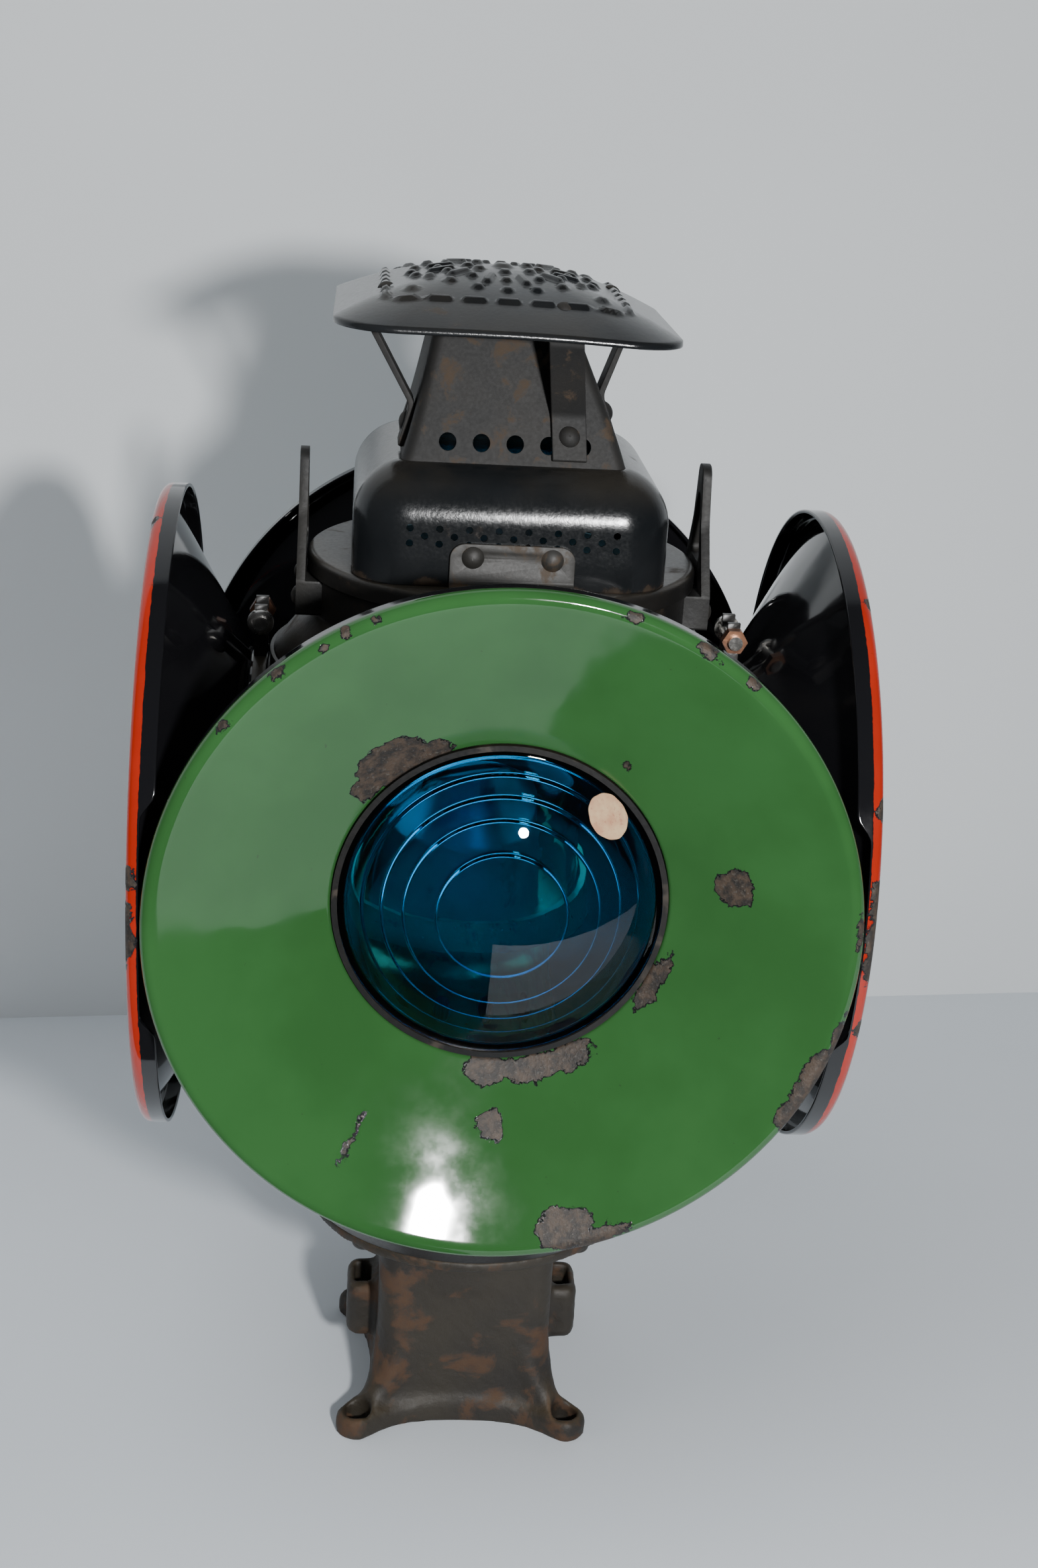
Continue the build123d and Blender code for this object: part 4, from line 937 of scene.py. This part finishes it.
def cap(sizes):
    """Pressed cap: rounded squares from the middle of its underside out to the lip and over its crown.

    The crown falls with the square of its width, and the relief is added to both faces."""
    sheet, lip = sizes.hood_sheet, 2 * MM
    share = np.concatenate([np.linspace(1, 0.94, 4), np.linspace(0.94, 0, 76)[1:]])
    z = CAP_Z + lip + (CAP_TOP - CAP_Z - lip) / (1 - 0.25**2) * (1 - share**2)
    corner = 20 * MM
    outer = np.stack([z, CAP_HALF * share, corner * share], 1)
    edge = np.array([(CAP_Z + 0.15 * MM, CAP_HALF - 0.1 * MM, corner), (CAP_Z + 0.6 * MM, CAP_HALF, corner)])
    outer = np.vstack([edge, outer])
    inner = outer.copy()
    inner[2:, 0] -= sheet
    inner[:, 1] = np.minimum(outer[:, 1], CAP_HALF - sheet)
    inner[:, 2] = np.minimum(outer[:, 2], corner - sheet)
    grid = square_stack(np.vstack([inner[::-1], outer]), 84, 14)
    grid[..., 2] += sizes.relief * cap_relief(grid[..., 0], grid[..., 1])
    wave = 0.5 * MM * np.sin(grid[..., 0] / (19 * MM) + 1)
    grid[..., 2] += wave * smooth(np.hypot(grid[..., 0], grid[..., 1]) / CAP_HALF)
    points, faces = skin(settled(grid), wrap=False)
    return new_piece("pressed_cap", points, faces, "satin_black_finish", "chimney_cap")


def strap(side, number):
    """Cap strap: up the chimney's face, out to the cap, and in along a tab under the crown."""
    low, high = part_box("cap_strap_front")
    wall = 2 * MM
    step = wall / 2 * math.sqrt(1 + CHIMNEY_SLOPE**2)
    foot, bend = NECK_Z + 2 * MM, NECK_Z + 16 * MM
    at_foot, at_bend = (chimney_high.x - (z - chimney_low.z) * CHIMNEY_SLOPE + step for z in (foot, bend))
    reach = CAP_HALF - 11.5 * MM
    tab_out = (0.76 * CAP_HALF - 0.2 * MM, CAP_Z + 6.1 * MM)
    tab_in = (0.62 * CAP_HALF, CAP_Z + 8.9 * MM)
    line = [(at_foot, foot), (at_bend, bend), (reach, CAP_Z - 1 * MM), tab_out, tab_in]
    points, faces = bent_strip(line, wall, [6 * MM, 5 * MM, 2 * MM], 11.4 * MM)
    middle = (low.x + high.x) / 2
    placed = np.stack([middle - points[:, 0], -points[:, 1], points[:, 2]], -1)
    return new_piece(f"bent_strap_{side}", settled(facing(placed, number)), faces, "sooty_black_finish",
                     f"cap_strap_{side}")


class LAMP_OT_hood(bpy.types.Operator):
    """Makes the hood: dome, chimney, cap and straps"""

    bl_idname = "lamp.hood"
    bl_label = "Hood"

    def execute(self, context):
        """The dome and what stands on it."""
        sizes = context.scene.lamp_sizes
        dome(sizes)
        chimney(sizes)
        cap(sizes)
        for number, side in enumerate(SIDES):
            strap(side, number)
        for node in ("hinge_leaf_hood", "latch_tongue"):
            softened(node, "rusty_steel_finish")
        rivets = softened("strap_rivets", "sooty_black_finish", 0.1 * MM).data.vertices
        co = np.zeros(len(rivets) * 3, np.float32)
        rivets.foreach_get("co", co)
        moved = settled(co.reshape(-1, 3).astype(float))
        rivets.foreach_set("co", moved.astype(np.float32).ravel())
        return {"FINISHED"}


# ------------------------------------------------------------------ body
class LAMP_OT_body(bpy.types.Operator):
    """Makes the body's rolled sheet rings, the ears, leaves and clamps"""

    bl_idname = "lamp.body"
    bl_label = "Body"

    def execute(self, context):
        """Spun sections of bent sheet, and softened castings."""
        sheet = 1.2 * MM
        seam = BODY_R - 1.5 * sheet
        edge = RING_R - sheet / 2
        level = ring_high.z - sheet / 2
        opening = DOME_HALF - 1.7 * MM
        line = [(opening, level), (edge, level), (edge, ring_low.z)]
        ring = sheet_loop(line[::-1], sheet, [1.6 * MM])
        new_piece("rolled_ring", *skin(spun(ring)), "black_paint_finish", "top_ring")
        collar = RING_R - sheet - 0.2 * MM - sheet / 2
        line = [(seam, shoulder_low.z), (seam, shell_high.z), (collar, shell_high.z + 16 * MM),
                (collar, shoulder_high.z)]
        cone = sheet_loop(line, sheet, [2 * MM, 3 * MM])
        new_piece("coned_shoulder", *skin(spun(cone)), "black_paint_finish", "body_shoulder")
        for node in ("lifting_ear_right", "lifting_ear_left", "latch_keeper"):
            softened(node, "cast_black_finish", 0.6 * MM)
        softened("hinge_leaf_body", "rusty_steel_finish")
        softened("clamp_bands", "black_paint_finish", 0.25 * MM)
        return {"FINISHED"}


# ------------------------------------------------------------------ base
def base_field(x, y, z):
    """Distance from the base casting's skin, in millimetres and negative inside.

    Square tube, round flare and flange, four ribbed feet and two lugs, blended with cast fillets, less
    the socket, the fork slots and the pockets of the screws."""
    top = base_high.z / MM
    flange_r = base_high.x / MM
    tube_half, foot_half = 33.0, 47.0
    turn = np.hypot(x, y)
    tube = soft_max(square_distance(x, y, tube_half, tube_half, 8), z - (top - 6), 2)
    throat = tube_half * 0.93
    grow = np.clip((z - (top - 26)) / 22, 0, 1)
    flare_r = throat + (flange_r - 2 - throat) * grow**2.4
    flare = soft_max(0.75 * (turn - flare_r), soft_max(z - top, top - 28 - z, 2), 3)
    flange = soft_max(turn - flange_r, np.abs(z - top + 2.2) - 2.2, 1.5)
    bow = (foot_half**2 * 0.66 + 196) / 28
    away = np.minimum(np.hypot(np.abs(x) - tube_half - bow, y), np.hypot(x, np.abs(y) - tube_half - bow))
    plan = soft_max(square_distance(x, y, foot_half, foot_half, 6), bow - away, 3)
    feet = soft_max(plan, z - 7.5, 3)
    a, b = (np.abs(x) + np.abs(y)) / math.sqrt(2), (np.abs(x) - np.abs(y)) / math.sqrt(2)
    root, tip = (tube_half - 8) * math.sqrt(2), (foot_half - 5) * math.sqrt(2)
    crest = 8.5 + 30 * np.clip(1 - (a - root) / (tip - root), 0, 1.2)**1.9
    rib = soft_max(soft_max(np.abs(b) - 4.8, a - tip - 1.0, 3), 0.75 * (z - crest), 5)
    lug_top, lug_low = 45.0, 22.0
    lug = soft_max(square_distance(x, y, 45, 11.5, 5), soft_max(z - lug_top, lug_low - z, 4), 4)
    body = soft_min(tube, soft_min(flare, flange, 2), 6)
    body = soft_min(body, soft_min(feet, rib, 6), 7)
    body = soft_min(body, lug, 3.5)
    body = soft_max(body, z - top, 0.6)
    socket = soft_max(square_distance(x, y, 26, 26, 3), z - (top - 12), 1)
    slots = soft_max(square_distance(np.abs(x) - 39, y, 3.2, 6.5, 2), z - 58, 1)
    bolt = bolts_high.x / MM - 4.5
    pockets = soft_max(np.hypot(np.abs(x) - bolt, np.abs(y) - bolt) - 4.9, z - (top - 4), 0.5)
    holes = np.hypot(np.abs(x) - bolt, np.abs(y) - bolt) - 2.5
    hollow = np.minimum(np.minimum(socket, slots), np.minimum(pockets, holes))
    skin_noise = (np.sin(0.83 * x + 1.7 * np.sin(0.31 * y)) * np.sin(0.91 * y + 1.3 * np.sin(0.37 * z))
                  * np.sin(0.77 * z + 1.1 * np.sin(0.29 * x)))
    return soft_max(soft_max(body + 0.13 * skin_noise, -hollow, 1.2), -z, 1.0)


class LAMP_OT_base(bpy.types.Operator):
    """Makes the cast base"""

    bl_idname = "lamp.base"
    bl_label = "Base casting"

    def execute(self, context):
        """Surface where the base's field is zero, on a grid of even pitch."""
        pitch = 1.15
        low = np.array([base_low.x, base_low.y, base_low.z]) / MM - 2 * pitch
        high = np.array([base_high.x, base_high.y, base_high.z]) / MM + 2 * pitch
        axes = [np.arange(a, b, pitch) for a, b in zip(low, high)]
        field = base_field(*np.meshgrid(*axes, indexing="ij"))
        points, faces = net(field, low, pitch)
        new_piece("cast_base", points * MM, faces, "rusty_iron_finish", "base_casting")
        return {"FINISHED"}


# ------------------------------------------------------------------ stage
def pale_finish(name, colour, one_sided=False):
    """Matt pale paint with faint clouds; one-sided, it is seen only from the front."""
    f = Finish(name)
    deep = tuple(c * 0.94 for c in colour)
    f.set(Base_Color=f.mixed(f.spread(f.noise(0.5, 3), 0.3, 0.7), deep, colour), Roughness=0.8)
    if one_sided:
        hidden = f.add("BsdfTransparent").outputs[0]
        behind = f.add("NewGeometry").outputs["Backfacing"]
        shown = f.add("MixShader", {0: behind, 1: f.shader.outputs[0], 2: hidden}).outputs[0]
        f.tree.links.new(shown, f.tree.nodes["Material Output"].inputs["Surface"])
    return f


def flat_sheet(name, corners, finish):
    """Flat four-cornered stage sheet."""
    sheet = linked(name, new_mesh(name, np.array(corners, float), [np.array([[0, 1, 2, 3]])]), finish)
    return sheet


def lamp_light(name, place, aim, size, power, colour=(1, 1, 1)):
    """Disc of light at a place, turned to its aim."""
    data = bpy.data.lights.new(name, "AREA")
    data.shape, data.size, data.energy, data.color = "DISK", size, power, colour
    light = linked(name, data)
    light.location = place
    light.rotation_mode = "QUATERNION"
    light.rotation_quaternion = (Vector(aim) - Vector(place)).to_track_quat("-Z", "Y")
    return light


def floor_and_backdrop():
    """Floor in sheets, and a backdrop turned so that it stands further back on its right.

    Two of the floor's sheets aren't mirrored in shiny surfaces."""
    wide, tall, turn, behind = 2.5, 2.2, 0.114, 0.334
    front, edge, side = -0.13, -0.46, 0.0
    skew, turned = turn * wide, edge + turn * side
    near = [(-wide, edge - skew, 0), (side, turned, 0), (wide, edge + skew, 0)]
    sheets = (("floor", [(-wide, front, 0), (wide, front, 0), (wide, wide, 0), (-wide, wide, 0)], True),
              ("floor_front", [near[1], near[2], (wide, front, 0), (side, front, 0)], True),
              ("floor_left", [near[0], near[1], (side, front, 0), (-wide, front, 0)], False),
              ("floor_far", [(-wide, -wide, 0), (wide, -wide, 0), near[2], near[0]], False))
    for name, corners, mirrored in sheets:
        flat_sheet(name, corners, "pale_floor").visible_glossy = mirrored
    left, right = behind - skew, behind + skew
    flat_sheet("backdrop", [(-wide, left, 0), (wide, right, 0), (wide, right, tall), (-wide, left, tall)],
               "pale_wall")


def lights():
    """Small key light beside the camera, glows inside three lenses, and large soft fills."""
    middle = (0, 0, 0.24)
    lamp_light("key", (0.175, -0.90, 0.533), middle, 0.07, 12)
    inside = -lens_high.y - 6 * MM
    glows = (("left", -inside, 0, 0.04), ("right", inside, 0, 0.02), ("back", 0, inside, 0.05))
    for name, x, y, power in glows:
        lamp_light(f"glow_{name}", (x, y, LENS_Z), (0, 0, LENS_Z), 0.09, power, (0.45, 0.85, 1.0))
    fills = (("above", (-0.5, -0.6, 1.7), 1.4, 9), ("left", (-1.6, -0.5, 0.8), 1.0, 3),
             ("behind", (0.4, 1.6, 1.5), 1.2, 5))
    for name, place, size, power in fills:
        lamp_light(f"fill_{name}", place, middle, size, power, (0.95, 0.98, 1.0)).visible_glossy = False


def room_light():
    """World of even light, dimmer in mirrors and brighter where the camera sees it."""
    even, mirrored, seen = 0.22, 0.05, 0.35
    world = bpy.data.worlds.new("room")
    world.use_nodes = True
    tree = world.node_tree
    sky = tree.nodes["Background"]
    sky.inputs["Color"].default_value = (0.75, 0.80, 0.86, 1)
    rays = tree.nodes.new("ShaderNodeLightPath").outputs
    dimmed = tree.nodes.new("ShaderNodeMapRange")
    dimmed.inputs["To Min"].default_value, dimmed.inputs["To Max"].default_value = even, mirrored
    tree.links.new(rays["Is Glossy Ray"], dimmed.inputs["Value"])
    shown = tree.nodes.new("ShaderNodeMath")
    shown.operation = "MULTIPLY_ADD"
    tree.links.new(rays["Is Camera Ray"], shown.inputs[0])
    shown.inputs[1].default_value = seen
    tree.links.new(dimmed.outputs[0], shown.inputs[2])
    tree.links.new(shown.outputs[0], sky.inputs["Strength"])
    return world


def main_camera():
    """Camera above and to the left of the lamp's axis, looking down at it."""
    yaw, pitch, roll = math.radians(4.737), math.radians(19.600), math.radians(-3.4765)
    ahead = Vector((math.sin(yaw) * math.cos(pitch), math.cos(yaw) * math.cos(pitch), -math.sin(pitch)))
    level = Vector((math.cos(yaw), -math.sin(yaw), 0))
    down = ahead.cross(level)
    right = math.cos(roll) * level + math.sin(roll) * down
    below = -math.sin(roll) * level + math.cos(roll) * down
    camera = linked("camera", bpy.data.cameras.new("camera"))
    camera.data.lens = 49.71
    camera.data.clip_start = 0.01
    turn = Matrix((right, -below, -ahead)).transposed().to_4x4()
    camera.matrix_world = Matrix.Translation((-0.0504, -0.73995, 0.51499)) @ turn
    return camera


class LAMP_OT_stage(bpy.types.Operator):
    """Makes the floor, the backdrop, the lights and the camera"""

    bl_idname = "lamp.stage"
    bl_label = "Stage"

    def execute(self, context):
        """Pale floor and one-sided backdrop, lights and camera."""
        pale_finish("pale_floor", (0.66, 0.70, 0.74))
        pale_finish("pale_wall", (0.70, 0.72, 0.73), one_sided=True)
        floor_and_backdrop()
        lights()
        context.scene.world = room_light()
        context.scene.camera = main_camera()
        return {"FINISHED"}


# ------------------------------------------------------------------ panel and running
STEPS = (LAMP_OT_finishes, LAMP_OT_day_targets, LAMP_OT_lenses, LAMP_OT_hood, LAMP_OT_body, LAMP_OT_base,
         LAMP_OT_stage)


class LAMP_PT_panel(bpy.types.Panel):
    """Lists the lamp's sizes, colours and steps"""

    bl_idname = "LAMP_PT_panel"
    bl_label = "Switch-stand lamp"
    bl_space_type = "VIEW_3D"
    bl_region_type = "UI"
    bl_category = "Lamp"

    def draw(self, context):
        """One row for each size and colour, then a button for each step."""
        for group in (context.scene.lamp_sizes, context.scene.lamp_colours):
            for name in group.__annotations__:
                self.layout.prop(group, name)
        for step in STEPS:
            self.layout.operator(step.bl_idname)


CLASSES = (LampSizes, LampColours, *STEPS, LAMP_PT_panel)


def register():
    """Registers the classes and hangs the settings on the scene."""
    for cls in CLASSES:
        bpy.utils.register_class(cls)
    bpy.types.Scene.lamp_sizes = PointerProperty(type=LampSizes)
    bpy.types.Scene.lamp_colours = PointerProperty(type=LampColours)


def unregister():
    """Undoes register."""
    del bpy.types.Scene.lamp_colours
    del bpy.types.Scene.lamp_sizes
    for cls in reversed(CLASSES):
        bpy.utils.unregister_class(cls)


def main():
    """Runs every step in order."""
    register()
    for step in STEPS:
        group, name = step.bl_idname.split(".")
        getattr(getattr(bpy.ops, group), name)()


if __name__ == "__main__":
    main()
